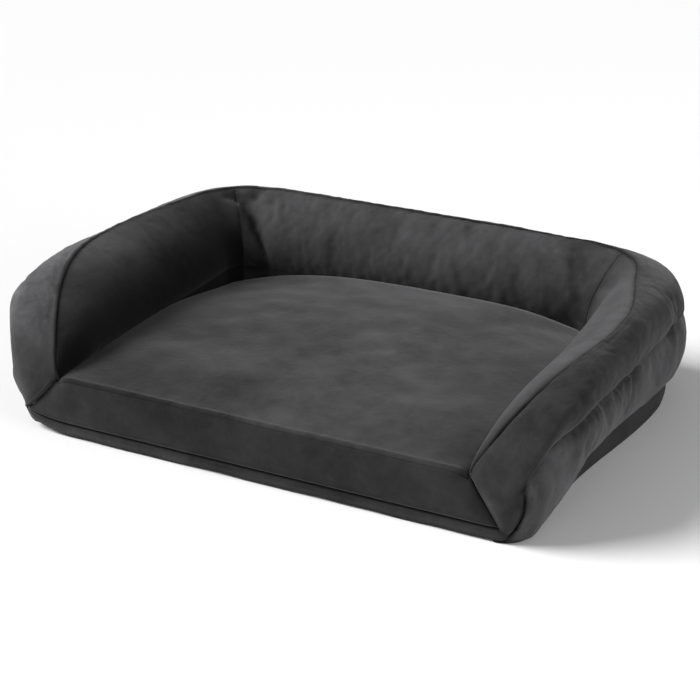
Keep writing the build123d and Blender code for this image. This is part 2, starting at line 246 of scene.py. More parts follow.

# %% [markdown]
# ## Velvet
# Velvet is a short pile that stands on a woven back. Brushed one way it looks darker, brushed the
# other way lighter, so a hand or a paw leaves cloudy patches. Seen edge-on, the tips of the pile catch
# light and the cloth gets a pale rim: that is what the sheen of the shader is for. Two noises of
# different sizes paint the brushed patches, and a fine one raises the pile. Each panel gets its own
# tone, which stands partly for the nap running another way and partly for painted light and shade on
# that panel. The left side is painted lighter on the band and the back, and darker on the seat and the
# left arm's inner panel. Beside seams, in the tuck and in the deepest creases, shade is painted in: the
# mesh carries its amount at each point.

# %% Velvet


def pile_cloth(name, dark, light, patch_scale, sheen, pile_height, left_painted_light=1.0, heights=(-1, 0)):
    """A finish for cloth with a brushed pile, between a dark and a light grey.

    The left tone is painted light and shade: above 1 it lightens the object's left side, below 1 it
    darkens it, more and more from one height to the other.
    """
    finish = Finish(name, roughness=0.9)
    patches = finish.field(patch_scale, 6, 0.6, 0.4)
    marks = finish.field(patch_scale * 5, 5, 0.72, 0.3)
    brushed = finish.ramp(finish.weighted(patches, marks, 0.38), 0.39, dark, 0.62, light)
    # Painted light (above 1) and painted shade (below 1) on the object's left side.
    left_painted_light_share = finish.maths("MULTIPLY", finish.rise("X", 0.10, -0.45), finish.rise("Z", *heights))
    tone = finish.maths("MULTIPLY_ADD", left_painted_light_share, left_painted_light - 1, 1)
    # Painted shade: the mesh's attribute darkens the colour beside seams, in the tuck and in deep creases.
    crush = finish.add("ShaderNodeAttribute", "Fac", {}, attribute_name="crush")
    shade = finish.maths("MULTIPLY", tone, finish.maths("MULTIPLY_ADD", crush, -1, 1))
    scaled = {"Vector": brushed, "Scale": shade}
    colour = finish.add("ShaderNodeVectorMath", "Vector", scaled, operation="SCALE")
    pile, tufts = finish.field(900, 2), finish.field(45, 4, 0.6, 0.8)
    finish.bump(finish.weighted(pile, tufts, 0.75), pile_height, 0.5)
    return finish.done({
        "Base Color": colour, "Specular IOR Level": 0.15, "Sheen Weight": sheen, "Sheen Roughness": 0.45,
        "Sheen Tint": (0.8, 0.8, 0.82, 1),
    })


nap_and_painted_light = {  # tone (partly painted light and shade), spread of tones, sheen, painted light (above 1) and shade (below 1) on the left side and the heights between which that sets in
    "seat": (0.88, 1.30, 0.32, 0.30),
    "front": (0.55, 1.00, 0.24),
    "lip": (1.00, 1.00, 0.35),
    "inner_left": (1.20, 1.00, 0.24, 0.10, (0.26, 0.16)),
    "inner_right": (1.10, 1.00, 0.40),
    "inner_back": (1.40, 0.80, 0.42, 1.10),
    "band": (0.80, 1.00, 0.19, 3.90, (0.13, 0.23)),
    "skirt": (1.60, 1.00, 0.26),
}
middle_grey, half_spread = 0.030, 0.016
cloud_scale, pile_height = 4.0, 0.0022
velvet = {}
for panel, (tone, spread, sheen, *left) in nap_and_painted_light.items():
    greys = [tone * (middle_grey + sign * spread * half_spread) for sign in (-1, 1)]
    dark, light = ((grey, grey, 1.04 * grey) for grey in greys)
    velvet[panel] = pile_cloth("velvet_" + panel, dark, light, cloud_scale, sheen, pile_height, *left)
print("finishes", *velvet)

# %% [markdown]
# ## The plan of the bolster
# The bolster is a cushion in the shape of a U. Its cover follows one line on the seat's edge: from the
# front of one arm, round a back corner, along the back, and to the front of the other arm. At each
# point of that line the cover has a cross-section, so a place on the cloth needs two numbers: how far
# along the line it is, and how far round the section. These are the sizes that the CAD model uses.

# %% Seat and base sizes
cloth = 0.002
seat_half = 0.400
seat_depth = 0.657
seat_corner = 0.060
seat_edge_height = 0.116
seat_crown = 0.010
front_bow = 0.006
base_height = 0.046
lip_height = 0.026
base_side_reach = 0.098
base_flare = 0.050
base_flare_start = 0.180
base_back_reach = 0.120
base_corner_fullness = 0.022
base_front_radius = 0.048
front_y = cad_low.y + front_bow
inner_back_y = front_y + seat_depth
arm_length = seat_depth - seat_corner
corner_x = seat_half - seat_corner
corner_y = front_y + arm_length
corner_arc = seat_corner * pi / 2
half_path = arm_length + corner_arc + corner_x
print("seat front at", round(front_y, 4), "path of one half", round(half_path, 3))

# %% [markdown]
# ## Shape helpers
# Cloth has few straight lines and no sudden steps, so its shapes are put together from a few smooth
# curves: a rise that settles, a gentle change, a hump and a bend. They work on whole arrays of points at
# once, which keeps the notebook quick. Sculpting would be freer, but it couldn't follow a changed size.

# %% Shape helpers


def ease(travel, power):
    """A rise from 0 that is steep at first and settles at 1."""
    return 1 - (1 - np.clip(travel, 0, 1)) ** power


def swing(travel):
    """A gentle S-shaped change from 0 to 1."""
    share = np.clip(travel, 0, 1)
    return share * share * (3 - 2 * share)


def hump(distance, width, power=2):
    """A value that is 1 at no distance and falls to 0 some widths away."""
    return np.exp(-((distance / width) ** power))


def mix(first, second, share):
    return first + (second - first) * share


def bend(start, middle, end, share):
    """Points of the quadratic curve from start to end, drawn towards middle."""
    return mix(mix(start, middle, share), mix(middle, end, share), share)


def grid_of(x, y, z):
    """A grid of points from three coordinates, each given for the grid, a row, a column or all of it."""
    return np.stack(np.broadcast_arrays(x, y, z), axis=-1)


def lifted(flat, height=0.0):
    """Points in space from points on the floor, all at one height."""
    return np.concatenate([flat, np.full((*flat.shape[:-1], 1), height)], axis=-1)


print("a hump at half its width", round(float(hump(0.5, 1.0)), 3))

# %% [markdown]
# ## The cross-section
# Seen in section, three curves make the cover: the inner panel rises and leans outward from the seat,
# the outer band goes over the top, and the gathered skirt hangs from it down to the base. Each curve
# needs only its two ends and one point that draws it out. Along an arm the section grows from almost
# nothing at the nose, so every value is a rise over some distance.

# %% Cross-section of the bolster
tuck_height = 0.112
arm_rise, arm_rise_length = 0.144, 0.330
arm_lean, arm_lean_length = 0.126, 0.362
back_lean, back_extra_rise, lean_change_start = 0.068, 0.006, 0.400
lean_change_length = arm_length + corner_arc - lean_change_start
crown_low, crown_rise, crown_settling = 0.124, 0.140, 0.018
gather_low, gather_rise = 0.102, 0.065
nose_bulge, arm_bulge, rear_bulge = 0.012, 0.036, 0.006
arm_puff, back_puff = 0.058, 0.028


def base_reach(run, turn):
    """How far the base stands outward of the seat's edge."""
    dip = np.clip(base_front_radius - run, 0, base_front_radius)
    rounding = base_front_radius - np.sqrt(base_front_radius**2 - dip**2)
    flare = base_flare * swing((run - base_flare_start) / (arm_length - base_flare_start))
    corner = base_corner_fullness * np.sin(pi * turn) ** 2
    return mix(base_side_reach + flare - rounding, base_back_reach, turn) + corner


def section(run, turn):
    """Seven control points of the outline, as (outward, height), from the tuck to the base."""
    settle = swing((run - lean_change_start) / lean_change_length)
    lean = mix(arm_lean, back_lean, settle) * ease(run / arm_lean_length, 2)
    climb = ease(run / arm_rise_length, 3)
    top = seat_edge_height + arm_rise * climb + back_extra_rise * settle
    full = base_corner_fullness * np.sin(pi * turn) ** 2
    rear = swing((run - arm_lean_length) / (arm_length - arm_lean_length))

    def reach(at_nose, growth, grown_by, rear_growth, at_back):
        return mix(at_nose + growth * ease(run / grown_by, 2) + rear_growth * rear, at_back, turn) + full

    crown = reach(at_nose=0.112, growth=0.072, grown_by=0.110, rear_growth=0.014, at_back=0.136)
    gather = reach(at_nose=0.097, growth=0.048, grown_by=0.200, rear_growth=0.024, at_back=0.112)
    settling = crown_settling * swing((run - 0.120) / 0.200) * (1 - turn)
    crown_height = crown_low + crown_rise * ease(run / 0.085, 2) - settling
    gather_height = gather_low + gather_rise * ease(run / 0.090, 2)
    bulge = mix(nose_bulge, arm_bulge, ease(run / 0.200, 1)) + rear_bulge * rear
    puff = mix(arm_puff, back_puff, settle) * climb / np.hypot(lean, top - tuck_height)
    none = np.zeros_like(run)
    points = [
        (none, none + tuck_height),
        (lean / 2 - puff * (top - tuck_height), (tuck_height + top) / 2 + puff * lean),
        (lean, top),
        (crown, crown_height),
        (gather, gather_height),
        (gather + bulge, mix(base_height, gather_height, 0.52)),
        (base_reach(run, turn), none + base_height),
    ]
    return np.array(points).transpose(2, 0, 1)


print("crown at the back", crown_low + crown_rise, "m high")

# %% [markdown]
# ## The line along the seat's edge
# The line runs straight back along an arm, turns a quarter circle, and goes on along the back. Distances
# along it are measured from the nose, so one number gives the place, the way outward and the turn.

# %% Seat line


def seat_line(run):
    """Where the seat's edge is, which way is outward there, and how far its corner is turned."""
    angle = np.clip((run - arm_length) / seat_corner, 0, pi / 2)
    outward = np.stack([np.cos(angle), np.sin(angle)], axis=1)
    start = (corner_x, corner_y) + seat_corner * outward
    start[:, 1] -= np.clip(arm_length - run, 0, None)
    start[:, 0] -= np.clip(run - arm_length - corner_arc, 0, None)
    return start, outward, swing(angle / (pi / 2))


print("corner from", round(arm_length, 3), "to", round(arm_length + corner_arc, 3), "m behind the nose")

# %% [markdown]
# ## One sheet for the whole cover
# The three panels are laid out together as one grid first, and cut apart at the seams afterwards.
# That way their edges meet exactly, and a direction that points straight out of the cloth is shared
# by the two panels at a seam. The rows lie closer together beside the seams, where the cloth turns most.

# %% Lay the sheet
column_step = 0.0075
inner_rows, band_rows, skirt_rows = 26, 28, 22
first_seam = inner_rows
second_seam = inner_rows + band_rows
last_row = second_seam + skirt_rows
columns = 2 * round(half_path / column_step) + 1
along = np.linspace(-half_path, half_path, columns)  # from the left nose to the right one
side = np.where(along >= 0, 1.0, -1.0)
nose_gap = 0.002
run = np.maximum(half_path - np.abs(along), nose_gap)
start, outward, turn = seat_line(run)
control = section(np.minimum(run, arm_length + corner_arc), turn)


def crowded(count, share=0.55):
    """Shares from 0 to 1 that lie closer together near both ends."""
    even = np.linspace(0, 1, count + 1)
    return mix(even, 0.5 - 0.5 * np.cos(pi * even), share)


def rows_of(first, count):
    """The points of one curve of every section, as (outward, height)."""
    return bend(*(control[:, first + k, None, :] for k in range(3)), crowded(count)[None, :, None])


profile = [rows_of(0, inner_rows), rows_of(2, band_rows)[:, 1:], rows_of(4, skirt_rows)[:, 1:]]
reached, height = np.moveaxis(np.concatenate(profile, axis=1), 2, 0)
flat = start[:, None, :] + outward[:, None, :] * reached[..., None]
sheet = grid_of(flat[..., 0] * side[:, None], flat[..., 1], height)
print("sheet", sheet.shape, "top", round(float(sheet[..., 2].max()), 4))

# %% [markdown]
# ## Straight out of the cloth
# Almost every step from here on moves points straight out of the cloth or into it. The way out is the
# cross product of the grid's two directions. It could be read from the mesh's normals, but the grid
# knows it before there is a mesh. Distances along each section tell how far a point is from a seam.

# %% Directions and distances


def unit(vectors):
    return vectors / np.maximum(np.linalg.norm(vectors, axis=-1, keepdims=True), 1e-12)


def straight_out(points):
    """Unit vectors that point out of a grid of points, away from what it covers."""
    return unit(np.cross(np.gradient(points, axis=0), np.gradient(points, axis=1)))


def row_travel(points):
    """Distance along each section, from its first row."""
    steps = np.linalg.norm(np.diff(points, axis=1), axis=2)
    return np.concatenate([np.zeros((len(points), 1)), np.cumsum(steps, axis=1)], axis=1)


out_of_sheet = straight_out(sheet)
row = np.arange(last_row + 1)
print("longest section", row_travel(sheet)[:, -1].max().round(3), "m")

# %% [markdown]
# ## Uneven filling
# Fibre is stuffed in by hand, so the roll is fuller in some places than in others. The left arm is
# plump near its nose and lean behind it, and the right arm is fullest before the back corner. The inner
# panels swell over the seat where the roll hangs over. Each is a table of distances from the nose and
# amounts, or a gentle change between two places, so a reader can plump a place up by one number.

# %% Uneven filling
fullness = {  # how much further the band swells, at distances from the nose
    -1: ((0, 0.03, 0.08, 0.16, 0.26, 0.36, 0.46, 0.60, 0.70),
         (0.000, 0.003, 0.008, 0.012, 0.012, 0.002, -0.005, -0.006, 0.000)),
    1: ((0, 0.30, 0.42, 0.52, 0.60, 0.67, 0.74, 0.84),
        (0, 0.000, 0.006, 0.010, 0.004, -0.010, -0.010, 0.000)),
}
nose_shift = (-0.026, 0.030, -0.004)  # the left nose's lower seam sits further back, round the corner
on_left = along < 0
extra = np.where(on_left, np.interp(run, *fullness[-1]), np.interp(run, *fullness[1]))
band_share = np.clip((row - first_seam) / band_rows, 0, 1)
sheet = sheet + out_of_sheet * (extra[:, None] * np.sin(pi * band_share) ** 0.8)[..., None]
inner_share = np.clip(row / first_seam, 0, 1)
left_overhang = swing((run - 0.02) / 0.08) * mix(0.016, 0.010, swing((run - 0.50) / 0.16))
overhang = np.where(on_left, left_overhang, 0.010 * swing((run - 0.60) / 0.12))
sheet += out_of_sheet * (overhang[:, None] * np.sin(pi * inner_share**0.6) ** 2)[..., None]
at_left_nose = np.where(on_left, hump(run, 0.06, 1), 0)[:, None] * swing(1.6 * band_share - 0.6)
sheet += at_left_nose[..., None] * nose_shift
print("band swells by", extra.min(), "to", extra.max().round(4))

# %% [markdown]
# ## A seam that wanders
# A gathered seam is never level: where its thread is tight it is drawn up, and where the roll is full it
# sags. On the right arm it also gapes: the roll above is pushed out, and the skirt below sinks in. Both
# panels move together, less and less away from the seam, so that no step shows.

# %% Wandering seam
lift_of_seam = (  # how far the right arm's lower seam is lifted, at distances from the nose
    (0, 0.10, 0.15, 0.20, 0.28, 0.34, 0.40, 0.46, 0.53, 0.60, 0.70),
    (0, 0.000, 0.008, 0.009, 0.002, -0.003, -0.008, -0.002, 0.010, 0.015, 0.000),
)


def gaping(low, high, opening=0.04, closing=0.04):
    """Where a seam of the right arm gapes, between two distances from its nose."""
    return (swing((run - low) / opening) * swing((high - run) / closing) * (along > 0))[:, None]


roll_push, roll_place, skirt_sink, push_width = 0.004, 0.030, 0.006, 0.016
above_seam = row_travel(sheet[:, second_seam::-1])[:, ::-1]  # distance above the lower seam
below_seam = row_travel(sheet[:, second_seam:])[:, 1:]
beside = np.concatenate([above_seam, below_seam], axis=1)
lift = np.where(on_left, 0, np.interp(run, *lift_of_seam))[:, None] * hump(beside, 0.05)
sheet[..., 2] += lift
pushed_out = roll_push * hump(above_seam - roll_place, push_width)
push = np.concatenate([pushed_out, -skirt_sink * hump(below_seam, push_width)], axis=1)
sheet += out_of_sheet * (push * gaping(0.07, 0.40, 0.05, 0.08))[..., None]
out_of_sheet = straight_out(sheet)
print("seam lifted by", lift.min().round(4), "to", lift.max().round(4))

# %% [markdown]
# ## Let the cloth find its folds
# Folds drawn by hand look drawn. Here the sheet becomes cloth for a moment: it is held along the seat,
# the base and the noses, blown out a little by the filling, and made a few percent longer than the
# line it is sewn to. The spare length has nowhere to go, so it buckles into puckers, as it does when a
# long edge is gathered into a short seam. The skirt gets most spare length, the inner panels almost none.

# %% Faces and weights


def grid_faces(wide, high):
    """Four-sided faces of a grid, with their fronts where straight_out points."""
    corners = np.arange(wide * high).reshape(wide, high)
    ring = [corners[:-1, :-1], corners[1:, :-1], corners[1:, 1:], corners[:-1, 1:]]
    return np.stack(ring, axis=2).reshape(-1, 4)


def weight_group(piece, name, weights):
    """A vertex group that holds one weight for each point."""
    group = piece.vertex_groups.new(name=name)
    for level in np.unique(weights.round(2)):
        chosen = np.nonzero(weights.round(2).reshape(-1) == level)[0]
        group.add(chosen.tolist(), float(level), "REPLACE")


print("the sheet has", len(grid_faces(*sheet.shape[:2])), "faces")

# %% [markdown]
# ## The simulation
# The trial cloth is a plain mesh that lives only for these frames. Its points are read back and it is
# removed, so nothing has to be baked. The stiffness is that of a lined velvet, heavier than a shirt and
# softer than canvas. What it moved is limited afterwards, because a fold that is too deep looks torn.

# %% Cloth simulation


def relaxed(points, held, spare, most_spare, pressure, frames=24):
    """The points after a moment as cloth, held and given spare length as told for each point."""
    wide, high = points.shape[:2]
    mesh = bpy.data.meshes.new("trial_cloth")
    mesh.from_pydata(points.reshape(-1, 3).tolist(), [], grid_faces(wide, high).tolist())
    trial = bpy.data.objects.new("trial_cloth", mesh)
    bpy.context.collection.objects.link(trial)
    weight_group(trial, "held", held)
    weight_group(trial, "tight", 1 - spare)
    cloth_modifier = trial.modifiers.new("cloth", "CLOTH")
    settings = cloth_modifier.settings
    settings.quality = 6
    settings.mass = 0.15
    settings.tension_stiffness = 15
    settings.compression_stiffness = 10
    settings.shear_stiffness = 3
    settings.bending_stiffness = 0.4
    settings.air_damping = 2
    settings.use_pressure = True
    settings.uniform_pressure_force = pressure
    settings.vertex_group_mass = "held"
    settings.vertex_group_shrink = "tight"
    settings.shrink_min = -most_spare
    settings.shrink_max = 0
    settings.effector_weights.gravity = 0
    cloth_modifier.collision_settings.use_collision = False
    cloth_modifier.point_cache.frame_end = frames
    for frame_number in range(1, frames + 1):
        bpy.context.scene.frame_set(frame_number)
    settled = trial.evaluated_get(bpy.context.evaluated_depsgraph_get())
    result = np.empty(wide * high * 3)
    settled.data.vertices.foreach_get("co", result)
    bpy.data.objects.remove(trial)
    bpy.context.scene.frame_set(1)
    return result.reshape(wide, high, 3)


def limited(shift, most):
    """The same shifts, none longer than most, without a sudden stop."""
    length = np.linalg.norm(shift, axis=2, keepdims=True)
    return shift * most * np.tanh(length / most) / np.maximum(length, 1e-9)


print("full simulation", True)

# %% [markdown]
# ## What is held, and what is spare
# A cloth simulation takes its orders as weights, one for each point. Held points stay where they are, as
# if sewn down. Spare points may grow by a share, and that is where folds appear: below the lower seam,
# where the skirt is gathered, and above it towards the rear. At the noses the cloth is cut to fit.

# %% Held and spare
random = np.random.default_rng(7)
from_nose = swing(run / 0.16)[:, None]
held = np.zeros(sheet.shape[:2])
held[:, [0, -1]] = 1
held[[0, -1], :] = 1
held[:, [1, -2]] = 0.6
held[:, first_seam] = 0.95
held[:, second_seam] = 0.7

rear = swing((run - 0.22) / 0.30)[:, None]
at_back = swing((run - 0.60) / 0.10)[:, None]
down_band = ((row[first_seam:second_seam] - first_seam) / band_rows)[None, :]
down_skirt = ((row[second_seam:] - second_seam) / skirt_rows)[None, :]
spare = np.zeros(sheet.shape[:2])
spare[:, :first_seam] = 0.01 + 0.05 * at_back
spare[:, first_seam:second_seam] = 0.02 + 0.36 * rear * swing(2.6 * down_band - 1.6)
spare[:, second_seam:] = 0.03 + 0.30 * (1 - down_skirt) ** 2
spare *= 0.10 + 0.90 * from_nose
print("spare cloth", spare.min().round(3), "to", spare.max().round(3))

# %% [markdown]
# ## Let it settle
# Cloth that is perfectly smooth doesn't know which way to buckle, so the points are scattered a little
# first. The arms' inner panels keep only a quarter of what the simulation moves, because they are
# pulled smooth over the filling.

# %% Let it settle
most_spare, filling_pressure = 0.12, 1.5
most_shift = 0.014
smooth_sheet = sheet.copy()
crumpled = sheet + out_of_sheet * random.normal(0, 0.0006, sheet.shape[:2])[..., None]
calm = np.ones(sheet.shape[:2])
calm[:, :first_seam] = mix(0.25, 1, at_back)
settled_sheet = relaxed(crumpled, held, spare, most_spare, filling_pressure)
sheet = sheet + calm[..., None] * limited(settled_sheet - sheet, most_shift)
print("cloth moved", np.linalg.norm(sheet - smooth_sheet, axis=2).max().round(4))

# %% [markdown]
# ## Puckers beside the lower seam
# The gathering thread pulls a row of short, narrow dents into both panels. They are finer than the
# simulated folds, and they are where a slow noise passes through zero, so they lie at uneven distances.

# %% Puckers


def soft_noise(points):
    """Smooth noise from -1 to 1 at each point, with lumps about one unit wide."""
    values = [noise.noise(Vector(place)) for place in points.reshape(-1, 3)]
    return np.array(values).reshape(points.shape[:-1])


def dents(spacing, slant, seed):
    """Narrow dents at uneven distances along the lower seam, from 0 to 1."""
    place = grid_of((along[:, None] + slant * beside) / spacing, 0.3 * beside / spacing + seed, 0.5)
    return hump(soft_noise(place), 0.16)


roll_pucker, skirt_pucker = 0.0060, 0.0050
above = (row <= second_seam)[None, :]
reach_up = swing((run - 0.30) / 0.12)[:, None] * hump(beside, 0.032, 1) * above
reach_down = from_nose * hump(beside, 0.045, 1) * ~above
puckers = roll_pucker * dents(0.038, 0.25, 3.1) * reach_up
puckers = puckers + skirt_pucker * dents(0.030, -0.30, 8.4) * reach_down
sheet -= out_of_sheet * puckers[..., None]
print("puckers up to", puckers.max().round(4))

# %% [markdown]
# ## Folds pressed in one by one
# A used bed also has creases that no gathering explains: where the back corners are squeezed, where the
# fibre has settled, where a hand has pushed. Each is a groove with a low ridge beside it, between two
# points on the cloth.

# %% Creases
creases = [  # from, to, width and depth of the groove
    ((-0.021, 0.293, 0.197), (0.008, 0.270, 0.130), 0.007, 0.0070),
    ((0.089, 0.301, 0.218), (0.111, 0.276, 0.157), 0.009, 0.0130),
    ((0.111, 0.276, 0.157), (0.153, 0.265, 0.118), 0.009, 0.0120),
    ((0.107, 0.323, 0.254), (0.122, 0.298, 0.200), 0.007, 0.0100),
    ((0.203, 0.279, 0.170), (0.223, 0.267, 0.122), 0.008, 0.0090),
    ((0.310, 0.320, 0.252), (0.350, 0.288, 0.185), 0.009, 0.0110),
    ((0.350, 0.288, 0.185), (0.366, 0.275, 0.150), 0.009, 0.0090),
    ((0.215, 0.312, 0.245), (0.240, 0.268, 0.165), 0.014, 0.0055),
    ((-0.200, 0.318, 0.250), (-0.170, 0.270, 0.165), 0.014, 0.0055),
    ((-0.430, -0.032, 0.190), (-0.411, -0.010, 0.154), 0.006, 0.0055),
    ((-0.433, 0.062, 0.196), (-0.413, 0.060, 0.158), 0.007, 0.0055),
    ((-0.418, 0.093, 0.172), (-0.408, 0.098, 0.146), 0.006, 0.0045),
    ((-0.437, 0.280, 0.250), (-0.400, 0.287, 0.236), 0.008, 0.0180),
    ((-0.400, 0.287, 0.236), (-0.390, 0.285, 0.214), 0.008, 0.0180),
    ((-0.392, 0.290, 0.225), (-0.370, 0.330, 0.262), 0.008, 0.0180),
    ((-0.390, 0.280, 0.226), (-0.366, 0.264, 0.186), 0.012, 0.0190),
    ((-0.371, 0.267, 0.195), (-0.332, 0.257, 0.125), 0.013, 0.0200),
    ((-0.350, 0.322, 0.258), (-0.322, 0.296, 0.218), 0.009, 0.0120),
    ((-0.316, 0.312, 0.246), (-0.295, 0.288, 0.210), 0.008, 0.0100),
    ((0.378, 0.322, 0.260), (0.410, 0.296, 0.244), 0.006, 0.0090),
    ((0.402, 0.268, 0.195), (0.445, 0.205, 0.236), 0.009, 0.0080),
    ((0.500, -0.383, 0.142), (0.519, -0.362, 0.092), 0.009, 0.0100),
    ((0.514, -0.352, 0.145), (0.534, -0.322, 0.112), 0.009, 0.0090),
    ((0.548, 0.030, 0.170), (0.561, -0.020, 0.120), 0.011, 0.0100),
    ((-0.431, -0.337, 0.186), (-0.424, -0.322, 0.166), 0.005, 0.0045),
]
print(len(creases), "creases")

# %% [markdown]
# ## How a crease is pressed in
# A crease is deepest in its middle. Across it, the groove has a sharp bottom, and the cloth that was
# pushed aside stands up as a low ridge on one side. In the deepest ones shade is painted along the groove
# as well.

# %% Press the creases in
least_crushed = 0.0085  # a shallower crease gets no painted shade
crease_crush = []  # where the deepest creases end up, how strong the shade painted in them is and how far it reaches


def creased(points, outward_vectors):
    """The points with every crease pressed in along their outward vectors."""
    press = np.zeros(points.shape[:2])
    for first, last, width, depth in creases:
        line = np.subtract(last, first)
        reach = np.clip(((points - first) @ line) / (line @ line), 0, 1)
        away = points - (np.array(first) + reach[..., None] * line)
        distance = np.linalg.norm(away, axis=2)
        # The deepest creases get painted shade along their grooves.
        if depth > least_crushed:
            inward = -outward_vectors.reshape(-1, 3)[distance.argmin()]
            strength = min(60 * (depth - 0.0045), 0.95)
            crease_crush.append((np.array([first, last]) + 0.8 * depth * inward, strength, width))
        across_line = np.cross(line, outward_vectors)
        across_length = np.maximum(np.linalg.norm(across_line, axis=2), 1e-9)
        on_ridge_side = (away * across_line).sum(axis=2) / across_length
        fade = depth * (0.35 + 0.65 * np.sin(pi * reach))
        low_ridge = 0.5 * hump(distance, 3 * width) * hump(on_ridge_side - 1.9 * width, width)
        press += fade * (low_ridge - hump(distance, width, 1.4))
    return points + outward_vectors * press[..., None]


sheet = creased(sheet, out_of_sheet)
print(len(crease_crush), "deep creases")

# %% [markdown]
# ## Seams
# Where two panels are sewn together, both turn in and run side by side behind the seam. On the
# outside that is a narrow valley with rounded shoulders, and a slit where the seam gapes. Each panel is
# therefore lowered towards its seams by one of these curves.

# %% Seam shapes
seam_depth, seam_width = 0.0045, 0.008
sharp_width = 0.0034  # of the crisp seams round the front band


def valley(distance, depth=seam_depth, width=seam_width):
    """How deep the cloth is drawn in, at a distance from a seam."""
    return depth * hump(distance, width, 1.3)


def ridge(distance, height, place=0.006, width=0.0032):
    """How far the turned edges under the cloth lift it, a little beside a seam."""
    return height * hump(distance - place, width)


def slit(distance, depth, width=0.0042):
    """How deep the cloth is drawn in at a seam that gapes, with steep walls."""
    return depth * hump(distance, width, 4)


print("a seam is drawn in by", valley(0), "m")

# %% [markdown]
# ## Seam allowances
# Each panel gets a few more rows that dive straight in behind the seam, as the allowance does inside a
# real cover. Without them one could look between two panels. A row close to the edge keeps the turn
# crisp when the mesh is rounded. The edges are noted, because shade is painted beside them.

# %% Seam allowances
allowance, nose_allowance = 0.007, 0.018
seam_gap = 0.0003
crisp_row = 0.0012
crush_reach = 0.0035
first_column, last_column, first_row, end_row = range(4)  # the edges of a grid
rearward, downward = np.array([0, 1.0, 0]), np.array([0, 0, -1.0])
turned_edges = []  # of the piece in hand: each turned edge, how strong the shade painted beside it is and how far it reaches


def turned_in(points, inward, *edges, depth=allowance, crush=(0.95, crush_reach)):
    """The grid with two rows behind each edge and one close to it, turned straight in or as told."""
    for edge in edges:
        by_rows, from_end = edge >= first_row, edge % 2
        way = inward
        if way is None:
            out = straight_out(points)
            way = -(out.swapaxes(0, 1) if by_rows else out)[-from_end]
        grid = points.swapaxes(0, 1) if by_rows else points
        if from_end:
            grid = grid[::-1]
        # Painted shade beside this edge.
        turned_edges.append((grid[0], *crush))
        step = grid[1] - grid[0]
        length = np.linalg.norm(step, axis=-1, keepdims=True)
        support = grid[0] + step * np.minimum(crisp_row / np.maximum(length, 1e-9), 0.4)
        tucked = [grid[0] + way * depth * share + unit(step) * seam_gap for share in (1, 0.45)]
        grid = np.concatenate([np.stack(tucked), grid[:1], support[None], grid[1:]])
        if from_end:
            grid = grid[::-1]
        points = grid.swapaxes(0, 1) if by_rows else grid
    return points


print("allowances", allowance, "and", nose_allowance, "m")

# %% [markdown]
# ## Corners and painted shade
# Where several seams meet, the thread draws all the panels in together, so every piece goes through the
# same pull. Afterwards each point learns how much shade is painted on it, from its distance to the
# nearest turned edge or deep crease. A tree of points answers that question quickly.

# %% Corners and painted shade
corner_pulls = [  # place, shift and reach
    ((-seat_half, front_y, seat_edge_height), (0, 0.007, -0.007), 0.012),
    ((seat_half, front_y, seat_edge_height), (0, 0.007, -0.007), 0.012),
    ((-0.500, front_y + 0.004, 0), (0.003, 0.008, 0.022), 0.060),
]
edge_steps = 8  # points on an edge for each of the grid's own


def pinched(points):
    """The points drawn in where several seams meet, and at the soft corner of the base."""
    for place, shift, reach in corner_pulls:
        away = points - place
        nearness = hump(np.linalg.norm(away, axis=-1, keepdims=True), reach)
        points = points + (np.array(shift) - 0.3 * away) * nearness
    return points


def crush_of(points):
    """How much shade is painted at each point, from 0 far from the turned edges and deep creases to 1."""
    crush = np.zeros(points.shape[0] * points.shape[1])
    for line, strength, reach in turned_edges + crease_crush:
        reach = np.broadcast_to(reach, len(line)).repeat(edge_steps)
        places = np.linspace(0, len(line) - 1, edge_steps * len(line))
        own_places = np.arange(len(line))
        dense = np.stack([np.interp(places, own_places, axis) for axis in pinched(line).T], axis=1)
        tree = KDTree(len(dense))
        for k, place in enumerate(dense):
            tree.insert(place, k)
        tree.balance()
        nearest, distance = zip(*[tree.find(place)[1:] for place in points.reshape(-1, 3)])
        crush = np.maximum(crush, strength * hump(np.array(distance), reach[list(nearest)], 1.4))
    turned_edges.clear()
    return crush


print(len(corner_pulls), "corners are pulled in")

# %% [markdown]
# ## From a grid to a piece
# A grid becomes a mesh, gets the thickness of the cloth by a modifier, and is rounded by another. Both
# could be modelled by hand, but as modifiers they stay the same on every panel. Each piece then gets its
# finish, hangs from the body that carries it, and hides the CAD nodes it stands for.

# %% Pieces of cloth


def cloth_piece(name, points, nodes, finish, thickness=cloth, levels=1):
    """A piece from a grid of points, with its thickness, rounding, finish, body and CAD nodes."""
    points = pinched(points)
    wide, high = points.shape[:2]
    mesh = bpy.data.meshes.new(name)
    mesh.from_pydata(points.reshape(-1, 3).tolist(), [], grid_faces(wide, high).tolist())
    # Painted shade at each point, read by the velvet's finish.
    mesh.attributes.new("crush", "FLOAT", "POINT").data.foreach_set("value", crush_of(points))
    mesh.polygons.foreach_set("use_smooth", [True] * len(mesh.polygons))
    mesh.materials.append(finish)
    piece = bpy.data.objects.new(name, mesh)
    bpy.context.collection.objects.link(piece)
    if thickness:
        solid = piece.modifiers.new("thickness", "SOLIDIFY")
        solid.thickness = thickness
        solid.offset = -1
    if levels:
        rounding = piece.modifiers.new("rounding", "SUBSURF")
        rounding.levels = rounding.render_levels = levels
    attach(piece, "bed")
    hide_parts(*nodes)
    print(name, len(mesh.vertices), "points")
    return piece


# %% [markdown]
# ## The inner panels
# Three panels face the sleeper: one on each arm and one on the back, sewn together where the corners
# turn. Their lower edges dive between the seat and the bolster. They could be modelled one by one, but
# cut out of the sheet they share their upper edge with the band, point for point.

